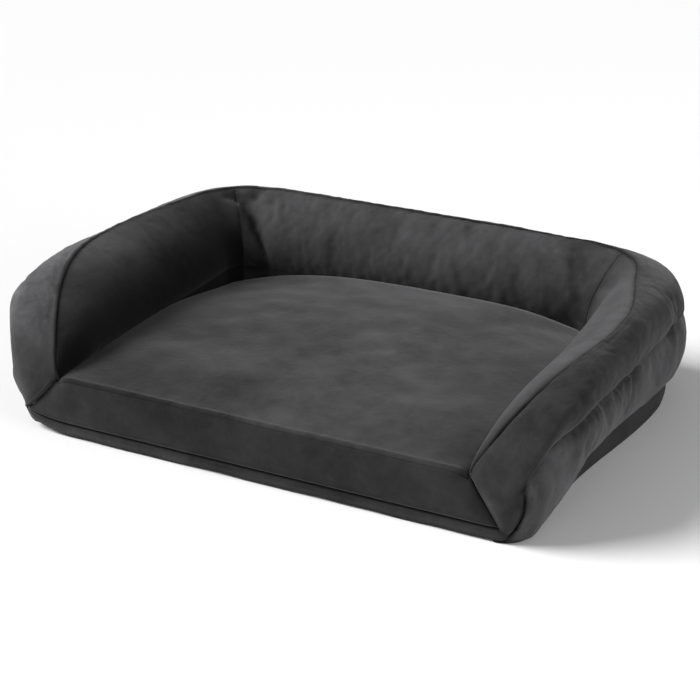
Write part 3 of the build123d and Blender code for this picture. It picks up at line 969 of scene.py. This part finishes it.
# %% Inner panels
tuck_dive = 0.052
# Painted shade where the inner panels dive into the tuck, and faintly along their corner seams.
tuck_crush = (0.95, 0.050)
corner_seam_crush = (0.5, crush_reach)
inner = sheet[:, : first_seam + 1]
inner_out = out_of_sheet[:, : first_seam + 1]
inner_cut = smooth_sheet[:, : first_seam + 1]
inner_travel = row_travel(inner_cut)
to_top = inner_travel[:, -1:] - inner_travel
corner_run = arm_length + corner_arc / 2
to_corner = valley(np.abs(run - corner_run)[:, None], depth=0.0025)
top_gape, lower_gape = 0.007 * gaping(0.02, 0.15), 0.011 * gaping(0.08, 0.42)
shallow = np.where(on_left, 0.35, 1)[:, None]
inner = inner - inner_out * (shallow * valley(to_top) + slit(to_top, top_gape) + to_corner)[..., None]
left_end, right_start = (
    int(np.argmin(np.abs(along - place))) for place in (corner_run - half_path, half_path - corner_run)
)
for name, first, last in (
    ("left", 0, left_end), ("back", left_end, right_start), ("right", right_start, columns - 1)
):
    part = slice(first, last + 1)
    points = turned_in(inner[part], downward, first_row, depth=tuck_dive, crush=tuck_crush)
    points = turned_in(points, -inner_out[part, -1], end_row)
    ends = ((first_column, first > 0), (last_column, last < columns - 1))
    sewn_ends = [edge for edge, sewn in ends if sewn]
    points = turned_in(points, None, *sewn_ends, crush=corner_seam_crush)
    finish = velvet["inner_" + name]
    piece = cloth_piece(name + "_inner_cloth", points, [name + "_inner_panel"], finish)

# %% [markdown]
# ## The gathered skirt
# The skirt covers the bolster's outside below the second seam. Its lower edge lies on the base, and at
# the front corners it hangs down almost to the floor. It could hang as a simulated curtain. Here it is
# the last part of the sheet, lowered more and more, so it stays in step with the band above it.

# %% Gathered skirt
skirt_low, left_skirt_low = 0.005, 0.030  # height of the skirt's edge at the front corners
hang_clear = 0.007
gaping_share = 40 * lower_gape  # where the seam gapes, part of its valley becomes a slit

hanging = mix(skirt_low, base_height, swing((run - 0.10) / 0.10))
tucked_up = mix(left_skirt_low, base_height, swing(run / 0.06))
drop = (base_height - np.where(on_left, tucked_up, hanging))[:, None]
skirt_share = crowded(skirt_rows)[None, :]
skirt = sheet[:, second_seam:].copy()
skirt[..., 2] -= drop * skirt_share**1.3
skirt[..., 0] += hang_clear * drop / (base_height - skirt_low) * skirt_share * (along > 0)[:, None]
skirt_out = straight_out(skirt)
skirt_out[:, 0] = out_of_sheet[:, second_seam]
skirt_cut = smooth_sheet[:, second_seam:]
skirt_travel = row_travel(skirt_cut)
slit_depth = seam_depth * gaping_share + lower_gape
sunk = valley(skirt_travel) * (1 - gaping_share) + slit(skirt_travel, slit_depth)
points = skirt - skirt_out * sunk[..., None]
# Painted shade in the lower seam, reaching further where the seam gapes.
skirt_crush = (0.97, crush_reach + 2.2 * lower_gape[:, 0])
points = turned_in(points, -skirt_out[:, 0], first_row, crush=skirt_crush)
inward_flat = lifted(-outward * np.stack([side, np.ones(columns)], axis=1))
# Painted shade where the skirt meets the base.
points = turned_in(points, inward_flat, end_row, depth=0.010, crush=(0.5, 0.004))
points = turned_in(points, rearward, first_column, last_column, depth=nose_allowance)
piece = cloth_piece("gathered_skirt_cloth", points, ["gathered_skirt"], velvet["skirt"])

# %% [markdown]
# ## The outer band
# One long strip goes over the whole bolster. At each nose it doesn't stop: it rolls over the front and
# tapers down to the foot of the arm, between the slanted seam of the front band and the end of the
# skirt. The strip's columns simply go on over the nose, and a little smoothing takes the edge off.

# %% Noses of the outer band
face_columns = 15
face_bulge = {1: 0.013, -1: 0.020}
slant_foot = {1: (0.061, 0.026), -1: (0.076, 0.028)}  # where each slanted seam ends
face_end = 0.88  # the band ends a little above the skirt's foot
turnovers, turnover_columns = 14, 9


def skirt_edge(sign, share):
    """Points on the skirt's front edge, from the upper seam (0) to the foot (1)."""
    edge = skirt[-1 if sign > 0 else 0]
    travel = row_travel(edge[None])[0]
    return np.stack([np.interp(share * travel[-1], travel, edge[:, axis]) for axis in range(3)], axis=-1)


def nose_face(sign):
    """The columns of the band down the front of one arm, from the nose to the foot."""
    fall = np.linspace(0, 1, face_columns + 1)[1:]
    foot_reach, foot_height = slant_foot[sign]
    top = np.array([sign * seat_half, front_y, seat_edge_height])
    foot = np.array([sign * (seat_half + foot_reach), front_y, foot_height])
    share = crowded(band_rows)[None, :]
    slanted = mix(top, foot, fall[:, None])
    face = mix(slanted[:, None], skirt_edge(sign, fall * face_end)[:, None], share[..., None])
    bulge = face_bulge[sign] * np.sin(pi * share) ** 0.8
    face[..., 1] -= bulge * np.linspace(1, 0.35, face_columns)[:, None]
    return face


band = np.concatenate([nose_face(-1)[::-1], sheet[:, first_seam : second_seam + 1], nose_face(1)])
position = np.arange(1, len(band) - 1)
nose_columns = (face_columns, len(band) - 1 - face_columns)
nearness = sum(np.clip(1 - np.abs(position - column) / turnover_columns, 0, 1) for column in nose_columns)
amount = 0.6 * nearness[:, None] * np.sin(pi * crowded(band_rows))[None, :] ** 0.5
for turnover in range(turnovers):  # round the noses, leaving the seams where they are
    band[1:-1] += (0.5 * (band[:-2] + band[2:]) - band[1:-1]) * amount[..., None]
print("band", band.shape)

# %% [markdown]
# ## The band's seams
# The band is drawn in along both long seams. Beside the upper one its turned edge makes a low ridge,
# like a thin piping. On the noses the allowances dive to the back, elsewhere straight in.

# %% Outer band
on_arms = slice(face_columns, -face_columns)
band_out = straight_out(band)
band_out[on_arms, 0] = out_of_sheet[:, first_seam]
band_out[on_arms, -1] = out_of_sheet[:, second_seam]
from_top = row_travel(band)
to_skirt = from_top[:, -1:] - from_top


def over_noses(values):
    """One value for each column of the band, the outermost ones repeated over the noses."""
    return np.pad(values, ((face_columns, face_columns), (0, 0)), mode="edge")


sunk = valley(from_top) + slit(from_top, over_noses(top_gape))
sunk = sunk + valley(to_skirt) + slit(to_skirt, over_noses(lower_gape))
left_half = np.arange(len(band))[:, None] < len(band) // 2
sunk = sunk * np.where(left_half, 0.5, 1) - ridge(from_top, np.where(left_half, 0.0026, 0.0024))
points = band - band_out * sunk[..., None]
on_nose = np.ones((len(band), 1), dtype=bool)
on_nose[on_arms] = False
depth = np.where(on_nose, nose_allowance, allowance)
# Painted shade in the lower seam on the band's side, reaching further where it gapes.
band_reach = crush_reach + 2.6 * over_noses(lower_gape)[:, 0]
points = turned_in(points, np.where(on_nose, rearward, -band_out[:, 0]), first_row, depth=depth)
to_inside = np.where(on_nose, rearward, -band_out[:, -1])
points = turned_in(points, to_inside, end_row, depth=depth, crush=(0.97, band_reach))
points = turned_in(points, rearward, first_column, last_column, depth=nose_allowance)
piece = cloth_piece("outer_band_cloth", points, ["outer_band"], velvet["band"])

# %% [markdown]
# ## The seat
# The seat is the cloth over the mattress: nearly flat, a little crowned, softly dented by use, and
# pulled down where it disappears beside the bolster. Sculpting would do, but one height for each point
# of a grid is easier to read and to change. Its outline follows the inner panels round the corners.

# %% Seat outline
seat_columns, seat_rows = 120, 88
near_edge = (0, 0.0014, 0.0028, 0.0044, 0.0064, 0.0090, 0.0122)  # close rows, where the cloth turns over


def lumps(points, size, seed):
    """Soft noise from -1 to 1 at each point, with lumps of about the given size."""
    return soft_noise(points / size + seed * 17.3)


across = mix(-1, 1, crowded(seat_columns, 0.4))[:, None]
depth = np.concatenate([near_edge, np.linspace(0.0165, seat_depth, seat_rows)])[None, :]
past_corner = np.clip(depth - arm_length, 0, seat_corner)
half_width = corner_x + np.sqrt(seat_corner**2 - past_corner**2)
seat_x = across * half_width
flat_crown = 0.4 * seat_crown * (1 - (2 * depth / seat_depth - 1) ** 2)
plump_crown = 0.014 * swing(depth / 0.16) * (1 - 0.75 * np.abs(across) ** 4 * swing((depth - 0.35) / 0.30))
seat = grid_of(seat_x, front_y + depth, seat_edge_height + (flat_crown + plump_crown))
print("seat", seat.shape, "top", seat[..., 2].max().round(4))

# %% [markdown]
# ## How the seat gives
# A mattress in use isn't even. Its edge dips into the seam, it sinks towards the back corners and the
# left arm, and a body has left shallow hollows. Along the front seam the velvet is gathered a little.
# Each of these is one smooth term, measured from the edge or the corner where it belongs.

# %% Seat
to_edge = np.minimum(half_width - np.abs(seat_x), seat_depth - depth)
to_back_corner = np.hypot(seat_half - np.abs(seat_x), seat_depth - depth)
to_left_arm = np.clip(half_width + seat_x, 0, None)
corner_dip = np.where(seat_x < 0, 0.030 * hump(to_back_corner, 0.20), 0.018 * hump(to_back_corner, 0.11))
gathers = lumps(grid_of(seat_x, 0, 0), 0.011, 12) * hump(depth, 0.014, 1) * swing(depth / 0.006)
seat[..., 2] -= valley(np.clip(to_edge, 0, None), 0.004, 0.006)
seat[..., 2] -= valley(depth, 0.0060, sharp_width) - ridge(depth, 0.0016)
seat[..., 2] -= corner_dip
seat[..., 2] -= 0.012 * hump(to_left_arm, 0.05, 1.5) * swing(depth / 0.12)
seat[..., 2] += 0.0016 * gathers
inside = swing(to_edge / 0.08) * swing(depth / 0.06)
seat[..., 2] += inside * (0.0045 * lumps(seat, 0.16, 1) + 0.0020 * lumps(seat, 0.055, 2))

front_inward = unit(rearward + downward)
points = turned_in(seat, front_inward, first_row)
tucked_edges = (end_row, first_column, last_column)
# Painted shade where the seat dives beside the bolster.
points = turned_in(points, downward, *tucked_edges, depth=0.02, crush=(0.95, 0.006))
turned_edges.append((seat[-1], 0.42, 0.15))  # painted shade, darker towards the right arm
piece = cloth_piece("seat_cloth", points[::-1], ["seat_panel"], velvet["seat"])

# %% [markdown]
# ## The front band
# The front band hangs from the seat's front edge between the two slanted seams. It swells forward with
# the mattress. A flat piece could be cut to that outline, but a grid that is stretched between the
# seams row by row has them as its edges, so they are turned in like all others.

# %% Front band
front_columns, front_rows = 130, 26
share_down = crowded(front_rows)[None, :]
across = mix(-1, 1, crowded(front_columns, 0.35))[:, None]
left_end_x, right_end_x = (mix(seat_half, seat_half + slant_foot[sign][0], share_down) for sign in (-1, 1))
half_length = np.where(across < 0, left_end_x, right_end_x)
front_x = across * half_length
from_slant = half_length - np.abs(front_x)
bowed = np.sin(pi * share_down)
swell = front_bow * bowed**0.7 * swing(from_slant / 0.05 + 0.2)
front = grid_of(front_x, front_y - swell, mix(seat_edge_height, lip_height, share_down))
ripple = np.sin(front_x / 0.011 + 3 * lumps(front, 0.12, 3)) * hump(from_slant, 0.09, 1)
front[..., 1] -= 0.0009 * ripple * bowed
front[..., 1] -= 0.0022 * lumps(front, 0.11, 4) * bowed
fall = (seat_edge_height - lip_height) * share_down
to_lip = fall[:, ::-1]
front[..., 1] += valley(fall, 0.0055, sharp_width) + valley(to_lip, 0.0040, sharp_width)
front[..., 1] += valley(from_slant, 0.004, 0.007)
front[..., 1] -= ridge(fall, 0.0024) + ridge(to_lip, 0.0020)
points = turned_in(front, front_inward, first_row)
points = turned_in(points, rearward, end_row)
points = turned_in(points, rearward, first_column, last_column, depth=nose_allowance)
piece = cloth_piece("front_band_cloth", points[::-1], ["front_band"], velvet["front"])

# %% [markdown]
# ## The lip
# Below the band a low strip goes straight down to the floor, round the first part of each front corner.
# It is sewn with two rows of stitches, so it has a groove a little below its edge, and it bulges under
# the weight of the mattress. It follows the base's outline, so it is laid on a path.

# %% Front lip
lip_rows, lip_turn = 10, radians(50)
lip_reach = seat_half + base_side_reach - base_front_radius
turned = np.concatenate([np.zeros(65), np.linspace(0, lip_turn, 9)[1:]])
straight_x = np.pad(np.linspace(0, lip_reach, 65), (0, 8), mode="edge")
round_corner = np.stack([np.sin(turned), 1 - np.cos(turned)], axis=1) * base_front_radius
half_lip = np.stack([straight_x, np.full(len(turned), front_y)], axis=1) + round_corner
lip_line = np.concatenate([half_lip[:0:-1] * (-1, 1), half_lip])
lip_tangent = unit(np.gradient(lip_line, axis=0))
lip_out = lifted(np.stack([lip_tangent[:, 1], -lip_tangent[:, 0]], axis=1))
lip_share = np.linspace(0, 1, lip_rows + 1)[None, :]
lip = grid_of(lip_line[:, :1], lip_line[:, 1:], mix(lip_height - 0.0005, 0.0005, lip_share))
lip_push = 0.0016 * np.sin(pi * lip_share) * (1 + 0.8 * lumps(lip, 0.07, 5)) - 0.0022 * (1 - lip_share)
lip_push -= 0.0016 * hump(lip_share - 0.3, 0.08)  # the second row of stitches
lip[..., 2] += 0.0034 * lip_share**2 * (1 + 1.3 * lumps(lip * (1, 1, 0), 0.075, 13))
lip += lip_out[:, None, :] * lip_push[..., None]
points = turned_in(lip, -lip_out, first_row, end_row)
piece = cloth_piece("front_lip_cloth", points[::-1], ["front_lip"], velvet["lip"])

# %% [markdown]
# ## Canvas
# The base is covered in plain woven canvas, which wears better against the floor than velvet. Plain
# weave is two crossed rows of threads, so two fine wave textures give its grain: one across all
# upright walls, whichever way they face, and one up them.

# %% Canvas


def woven(name, dark, light, threads, depth):
    """A finish for plain-woven cloth, with a number of threads for each metre."""
    finish = Finish(name, roughness=0.95)
    waves = {"Vector": finish.place, "Scale": threads / 6.3, "Distortion": 0.6}
    strands = [
        finish.add("ShaderNodeTexWave", "Fac", waves, wave_type="BANDS", bands_direction=direction)
        for direction in ("DIAGONAL", "Z")
    ]
    grain = finish.weighted(*strands, 0.5)
    tone = finish.weighted(finish.field(12, 6, 0.6), grain, 0.4)
    finish.bump(grain, depth, 0.6)
    return finish.done({"Base Color": finish.ramp(tone, 0.3, dark, 0.7, light), "Specular IOR Level": 0.2})


canvas = woven("canvas", (0.026, 0.026, 0.027), (0.056, 0.056, 0.058), 900, 0.0006)
tape_cloth = woven("zip_tape", (0.010, 0.010, 0.010), (0.024, 0.024, 0.025), 1600, 0.0003)
print("woven", canvas.name, tape_cloth.name)

# %% [markdown]
# ## The base's boxing
# A strip of canvas runs round the base from one front corner to the other. It is cut in four: one
# strip for each side, and two at the back with the zip between them. One extruded outline would be
# quicker, but separate strips can belly, wave and turn in their hems as sewn ones do.

# %% Outline of the base
zip_half_length, zip_middle, zip_window = 0.334, 0.023, 0.012
round_corner = base_front_radius * (1 - np.cos(np.linspace(0, pi / 2, 14)))
outline_run = np.concatenate([round_corner, np.linspace(base_front_radius, half_path, 210)[1:]])
outline_start, outline_out, outline_turn = seat_line(outline_run)
base_half = outline_start + outline_out * base_reach(outline_run, outline_turn)[:, None]
base_back_y = inner_back_y + base_back_reach
print("base half outline", base_half.shape, "back at", round(base_back_y, 4))


def wall(path, outward_flat, bottom, top, rows, belly, seed):
    """A strip of cloth that stands on a path, with a little belly and soft waves."""
    height = np.linspace(0, 1, rows + 1)[None, :]
    points = grid_of(path[:, :1], path[:, 1:], mix(bottom, top, height))
    push = belly * np.sin(pi * height) * (1 + 0.7 * lumps(points, 0.09, seed))
    flat = lifted(outward_flat)
    return points + flat[:, None] * push[..., None], flat


# %% [markdown]
# ## The strips at the sides
# Each side strip stands on the base's outline, from the lip's end to the zip's end. The bed's weight
# makes it belly a little, but not beside the zip, where the pull tab comes to lie against it.

# %% Side boxing
above_floor, below_skirt = 0.0004, 0.0006
boxing_low, boxing_high = above_floor, base_height - below_skirt
side_belly, side_hem, side_cloth = 0.0045, 0.006, 0.0012
from_lip = base_half[:, 1] > half_lip[-1, 1] - 0.003
at_side = (base_half[:, 0] >= zip_half_length) & from_lip
for sign, name in ((-1, "left_boxing"), (1, "right_boxing")):
    path = base_half[at_side] * (sign, 1)
    outward_flat = unit(np.stack([np.gradient(path[:, 1]), -np.gradient(path[:, 0])], axis=1)) * sign
    past_zip = np.hypot(*(path - (sign * zip_half_length, base_back_y)).T)[:, None]
    belly = side_belly * swing((past_zip - 0.030) / 0.080)  # none where the pull tab lies beside the zip
    strip, flat = wall(path, outward_flat, boxing_low, boxing_high, 8, belly, 6 + sign)
    points = turned_in(strip, -flat, first_row, end_row, depth=side_hem)
    piece = cloth_piece(name + "_cloth", points[::sign], [name], canvas, side_cloth)

# %% [markdown]
# ## The strips beside the zip
# The two strips at the back leave a window for the zip. They are sewn to its tapes, which keep them
# straight, so only a trace of the belly is left.

# %% Back boxing
back_columns = 150
back_belly, back_hem, back_cloth = 0.0008, 0.0015, 0.0009
zip_x = np.linspace(zip_half_length, -zip_half_length, back_columns)
back_path = np.stack([zip_x, np.full(back_columns, base_back_y)], axis=1)
to_the_back = np.tile([0.0, 1.0], (back_columns, 1))
for name, bottom, top in (
    ("back_boxing_lower", boxing_low, zip_middle - zip_window / 2),
    ("back_boxing_upper", zip_middle + zip_window / 2, boxing_high),
):
    strip, flat = wall(back_path, to_the_back, bottom, top, 6, back_belly, 9)
    points = turned_in(strip, -flat, first_row, end_row, depth=back_hem)
    piece = cloth_piece(name + "_cloth", points, [name], canvas, back_cloth)

# %% [markdown]
# ## The bottom panel
# The bottom is one piece of canvas in the shape of the base. It is laid out in rings, from the edge to
# a short line in the middle, so that its edge follows the corners exactly.

# %% Bottom panel
bottom_rings, bottom_cloth = 16, 0.0014


def closed_grid(points):
    """The grid with its first column again after its last."""
    return np.concatenate([points, points[:1]])


def spine_of(loop, half_spine):
    """A short line in the middle, with a point for each point of a loop round it."""
    return np.stack([np.clip(loop[:, 0], -half_spine, half_spine), np.zeros(len(loop))], axis=1)


base_loop = np.concatenate([base_half, base_half[::-1] * (-1, 1)])
spine = spine_of(base_loop, 0.25)
share = np.linspace(0, 1, bottom_rings) ** 1.3
bottom = lifted(mix(base_loop[:, None, :], spine[:, None, :], share[None, :, None]))
off_floor = 0.0010 * np.clip(share * 12, 0, 1) * np.clip(1 - share, 0, 1)
bottom[..., 2] = off_floor * (1 + lumps(bottom, 0.1, 11))
points = closed_grid(bottom)[::-1]
piece = cloth_piece("bottom_cloth", points, ["bottom_panel"], canvas, bottom_cloth)

# %% [markdown]
# ## Foam and filling
# Under the cover lie two slabs of foam and three cushions of loose fibre. They show only when the
# cover is opened, but they carry the shape. A slab is a stack of rings, closed at both ends; the cushions
# are the sheet itself, moved inward by the thickness of the cloth and a little air.

# %% Foam finish


def open_cell(name, dark, light, cell_scale, depth):
    """A finish for foam, whose open cells show as fine pores."""
    finish = Finish(name, roughness=0.95)
    cells = finish.add("ShaderNodeTexVoronoi", "Distance", {"Vector": finish.place, "Scale": cell_scale})
    tone = finish.weighted(cells, finish.field(6, 4), 0.7)
    finish.bump(cells, depth)
    return finish.done({"Base Color": finish.ramp(tone, 0.3, dark, 0.6, light)})


foam = open_cell("foam", (0.62, 0.56, 0.38), (0.78, 0.73, 0.55), 700, 0.0006)
memory_foam = open_cell("memory_foam", (0.74, 0.71, 0.63), (0.86, 0.84, 0.78), 1500, 0.0003)
fibre = pile_cloth("filling", (0.74, 0.74, 0.73), (0.88, 0.88, 0.87), 30.0, 0.1, 0.0010)
print("foam and fibre", foam.name, memory_foam.name, fibre.name)

# %% [markdown]
# ## Foam slabs
# A slab is a stack of rings, each the same loop drawn in by some distance at some height, from a line in
# the middle of its underside to a line in the middle of its top. That rounds its edges where foam is
# rounded, and it lets the base's foam step back behind the zip.

# %% Foam slabs


def drawn_in(loop, distance):
    """A loop moved inward."""
    tangent = unit(np.roll(loop, -1, axis=0) - np.roll(loop, 1, axis=0))
    return loop + np.stack([-tangent[:, 1], tangent[:, 0]], axis=1) * distance


def slab(name, rings, node, finish):
    """A foam slab from (loop, height) rings, one above the other, closed by its first and last rings."""
    points = closed_grid(np.stack([lifted(loop, height) for loop, height in rings], axis=1))
    cloth_piece(name, points[::-1], [node], finish, 0, 0)


foam_loop = drawn_in(base_loop, 0.011)
channel = foam_loop.copy()
in_channel = (foam_loop[:, 1] > base_back_y - 0.02) & (np.abs(foam_loop[:, 0]) < zip_half_length)
channel[in_channel, 1] -= 0.001
slab("support_foam_slab", [
    (spine, 0.003), (drawn_in(foam_loop, 0.004), 0.003), (foam_loop, 0.0055), (foam_loop, 0.0075),
    (channel, 0.0076), (channel, 0.0384), (foam_loop, 0.0385), (foam_loop, 0.043),
    (drawn_in(foam_loop, 0.003), 0.0455), (spine, 0.0455),
], "support_foam", foam)

seat_start, _, _ = seat_line(np.linspace(0, half_path, 120))
comfort_loop = drawn_in(np.concatenate([seat_start, seat_start[::-1] * (-1, 1)]), 0.012)
spine = spine_of(comfort_loop, 0.2)
slab("comfort_foam_slab", [
    (spine, 0.0475), (drawn_in(comfort_loop, 0.004), 0.0475), (comfort_loop, 0.052), (comfort_loop, 0.064),
    (drawn_in(comfort_loop, 0.012), 0.072), (mix(comfort_loop, spine, 0.4), 0.094), (spine, 0.104),
], "comfort_foam", memory_foam)

# %% [markdown]
# ## Bolster filling
# The cushions of fibre are the sheet itself, every second row of it, moved inward by the thickness of
# the cloth and a little air, and closed along the base. Where the lower seam draws the cloth in, the
# filling gives way further, or it would show in the gaping seam.

# %% Bolster filling
margin, seam_margin, seam_margin_width = 0.019, 0.012, 0.020
fill_floor = base_height + 0.002
nose_gap_columns, mitre_gap = 5, 1
sheet_travel = row_travel(sheet)
from_seam = sheet_travel - sheet_travel[:, second_seam : second_seam + 1]
fill_margin = margin + seam_margin * hump(from_seam, seam_margin_width)
stuffing = (sheet - out_of_sheet * fill_margin[..., None])[:, 1:-1:2]
stuffing[..., 2] = np.maximum(stuffing[..., 2], base_height + 0.003)
inner_foot, outer_foot = stuffing[:, :1].copy(), stuffing[:, -1:].copy()
inner_foot[..., 2] = outer_foot[..., 2] = fill_floor
stuffing = np.concatenate([inner_foot, stuffing, outer_foot, inner_foot], axis=1)


def stuffed(side_name, first, last):
    """A cushion of loose fibre, closed at both ends."""
    part = stuffing[first : last + 1]
    caps = [np.repeat(end.mean(axis=0)[None, None], part.shape[1], axis=1) for end in (part[0], part[-1])]
    points = np.concatenate([caps[0], part, caps[1]])
    name, node = side_name + "_filling", side_name + "_bolster_fill"
    cloth_piece(name, points, [node], fibre, 0, 0)


stuffed("left", nose_gap_columns, left_end - mitre_gap)
stuffed("back", left_end + mitre_gap, right_start - mitre_gap)
stuffed("right", right_start + mitre_gap, columns - 1 - nose_gap_columns)

# %% [markdown]
# ## The zip
# A coil zip is two woven tapes, each with a spiral of nylon along its edge. The spirals are wound here
# turn by turn. The tapes lie flat behind the window between the two strips of the back boxing.

# %% Zip tapes
chain_y = base_back_y - 0.0025
tape_edge, tape_width, tape_half = 0.0036, 0.011, 0.00045
tape_x = np.linspace(zip_half_length, -zip_half_length, 160)[:, None]
for sign, name in ((1, "zip_tape_upper"), (-1, "zip_tape_lower")):
    z = zip_middle + sign * (tape_edge + tape_width * np.linspace(0, 1, 7)[None, ::sign])
    points = grid_of(tape_x, chain_y + tape_half, z)
    piece = cloth_piece(name + "_cloth", points, [name], tape_cloth, 2 * tape_half, 0)

# %% [markdown]
# ## The coils
# Each coil is one thin thread, wound round and along the tape's edge. It is laid as a tube round a spiral
# path. A plain bar with a bump would be cheaper, but the turns show in its outline close up.

# %% Zip coils
turn_length = 0.0016
thread_radius = 0.00034
bead_inner, bead_width, bead_thickness = 0.0008, 0.0028, 0.0026
zip_run = 0.640


def tube(path, radius, sides=6):
    """A grid of points round a path."""
    tangent = unit(np.gradient(path, axis=0))
    across = unit(np.cross(tangent, (0.35, 0.2, 0.9)))
    second = np.cross(tangent, across)
    angle = np.linspace(0, 2 * pi, sides + 1)
    return path[:, None] + radius * (
        across[:, None] * np.cos(angle)[None, :, None] + second[:, None] * np.sin(angle)[None, :, None]
    )


coil_finish = Finish("zip_coil", roughness=0.38)
coil_tint = coil_finish.ramp(coil_finish.field(300, 2), 0, (0.015, 0.015, 0.016), 1, (0.035, 0.035, 0.037))
nylon = coil_finish.done({"Base Color": coil_tint})
turn_points = 10
for sign, name in ((1, "zip_coil_upper"), (-1, "zip_coil_lower")):
    angle = np.arange(0, 2 * pi * zip_run / turn_length, 2 * pi / turn_points)
    across = bead_inner + bead_width / 2 + (bead_width / 2 - thread_radius) * np.sin(angle)
    path = np.stack([
        zip_run / 2 - thread_radius - angle / (2 * pi) * turn_length * (1 - 2 * thread_radius / zip_run),
        chain_y + (bead_thickness / 2 - thread_radius) * np.cos(angle),
        zip_middle + sign * across,
    ], axis=1)
    cloth_piece(name + "_thread", tube(path, thread_radius), [name], nylon, 0, 0)

# %% [markdown]
# ## Black enamel
# The slider, its tab and the stops are cast metal, dipped in enamel. Their CAD shapes are kept, because
# they are already exact. The enamel gets a half-glossy black whose tone wanders with handling.

# %% Black enamel
enamel_finish = Finish("black_enamel", roughness=0.32)
wear = enamel_finish.field(160, 5, 0.65)
blacks = enamel_finish.ramp(wear, 0.35, (0.012, 0.012, 0.013), 0.75, (0.030, 0.030, 0.032))
enamel = enamel_finish.done({"Base Color": blacks, "Metallic": 0.6})
for node in ("zip_stops", "zip_slider", "zip_pull_tab"):
    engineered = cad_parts[node]
    engineered.data.materials.clear()
    engineered.data.materials.append(enamel)
    print(node, "in", enamel.name)

# %% [markdown]
